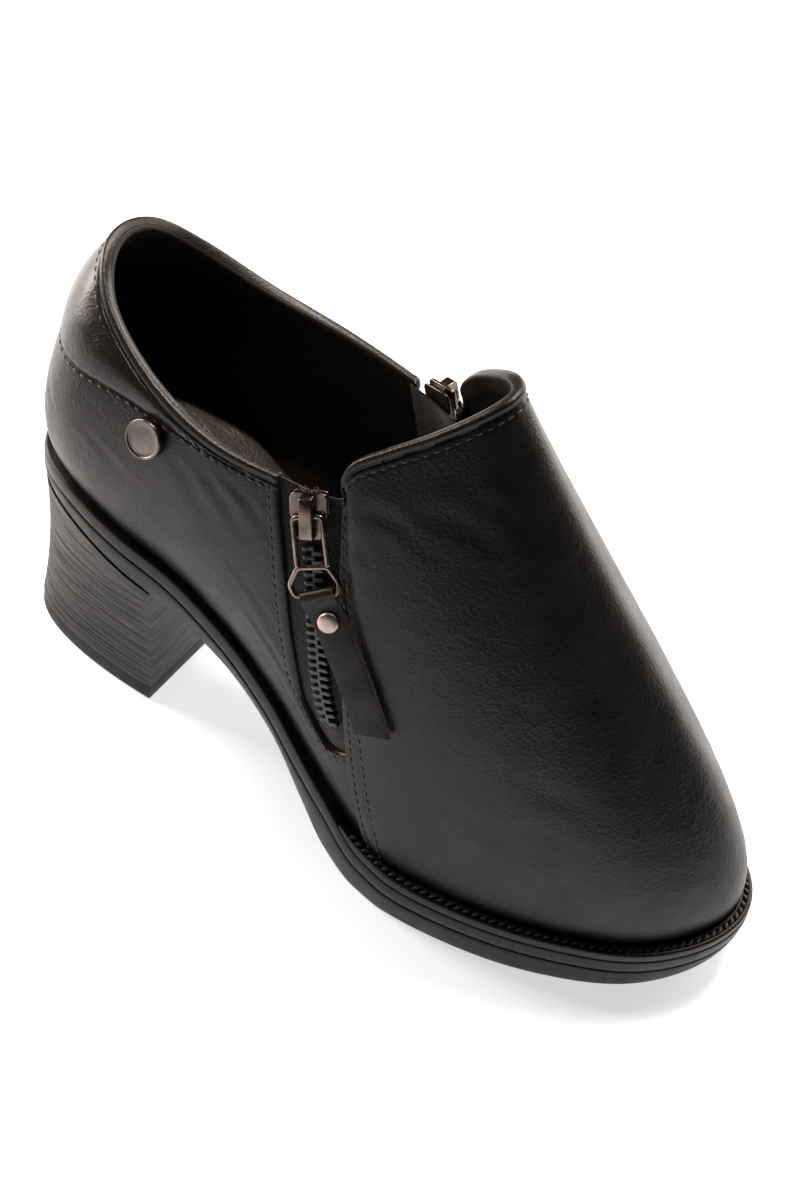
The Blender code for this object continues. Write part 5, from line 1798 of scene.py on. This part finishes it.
class BOOT_OT_heel(bpy.types.Operator):
    """Makes the stacked heel and its rubber lift"""
    bl_idname = "boot.heel"
    bl_label = "Heel"

    def execute(self, context):
        show(make_heel(), "stacked_heel", "heel")
        show(make_lift(), "lift_rubber", "heel_top_lift")
        return {"FINISHED"}


class BOOT_OT_zips(bpy.types.Operator):
    """Makes both zips: tape, teeth, slider, pull and the frayed tape ends"""
    bl_idname = "boot.zips"
    bl_label = "Zips"

    def execute(self, context):
        for side in SIDES:
            show(make_tape(side), "zip_tape", "zip_tape_" + side)
            show(make_teeth(side), "zip_teeth", "zip_chain_" + side)
            for piece in make_slider(side):
                show(piece, "dark_nickel", "slider_" + side)
            show(make_pull(side), "dark_nickel", "pull_tab_" + side)
            show(make_fray(side), "zip_tape")
        return {"FINISHED"}


class BOOT_OT_strap(bpy.types.Operator):
    """Makes the pull strap and its stud"""
    bl_idname = "boot.strap"
    bl_label = "Pull strap"

    def execute(self, context):
        show(make_strap(), "strap_leather", "pull_strap")
        show(make_stud(), "brushed_nickel", "strap_stud")
        return {"FINISHED"}


class BOOT_OT_badge(bpy.types.Operator):
    """Makes the plain round badge"""
    bl_idname = "boot.badge"
    bl_label = "Badge"

    def execute(self, context):
        show(make_badge(), "badge_metal", "badge")
        return {"FINISHED"}


class BOOT_OT_stage(bpy.types.Operator):
    """Makes the floor, the lights and the camera"""
    bl_idname = "boot.stage"
    bl_label = "Stage"

    def execute(self, context):
        stage = context.scene.boot_stage
        make_floor()
        make_world(stage.world_strength)
        for name, place, target, size in LIGHTS:
            area_light(name, place, target, size, getattr(stage, name + "_power"))
        snoot_light(stage.snoot_power)
        context.scene.view_settings.view_transform = "Standard"
        make_camera()
        return {"FINISHED"}


class BOOT_PT_panel(bpy.types.Panel):
    """Lists the boot's pieces and settings"""
    bl_idname = "BOOT_PT_panel"
    bl_label = "Zip ankle boot"
    bl_space_type = "VIEW_3D"
    bl_region_type = "UI"
    bl_category = "Boot"

    def draw(self, context):
        layout = self.layout
        for name in ("dark", "light", "roughness"):
            layout.prop(context.scene.boot_leather, name)
        for name in ("key_power", "rim_power", "far_power", "fill_power", "snoot_power", "world_strength"):
            layout.prop(context.scene.boot_stage, name)
        for operator in OPERATORS:
            layout.operator(operator.bl_idname)


OPERATORS = (
    BOOT_OT_upper, BOOT_OT_sole, BOOT_OT_heel, BOOT_OT_zips, BOOT_OT_strap, BOOT_OT_badge, BOOT_OT_stage,
)
CLASSES = (BOOT_PG_leather, BOOT_PG_stage, *OPERATORS, BOOT_PT_panel)


def register():
    for cls in CLASSES:
        bpy.utils.register_class(cls)
    bpy.types.Scene.boot_leather = bpy.props.PointerProperty(type=BOOT_PG_leather)
    bpy.types.Scene.boot_stage = bpy.props.PointerProperty(type=BOOT_PG_stage)


def unregister():
    del bpy.types.Scene.boot_stage
    del bpy.types.Scene.boot_leather
    for cls in reversed(CLASSES):
        bpy.utils.unregister_class(cls)


def main():
    register()
    for piece in ("upper", "sole", "heel", "zips", "strap", "badge", "stage"):
        getattr(bpy.ops.boot, piece)()
    bpy.context.view_layer.update()


if __name__ == "__main__":
    main()
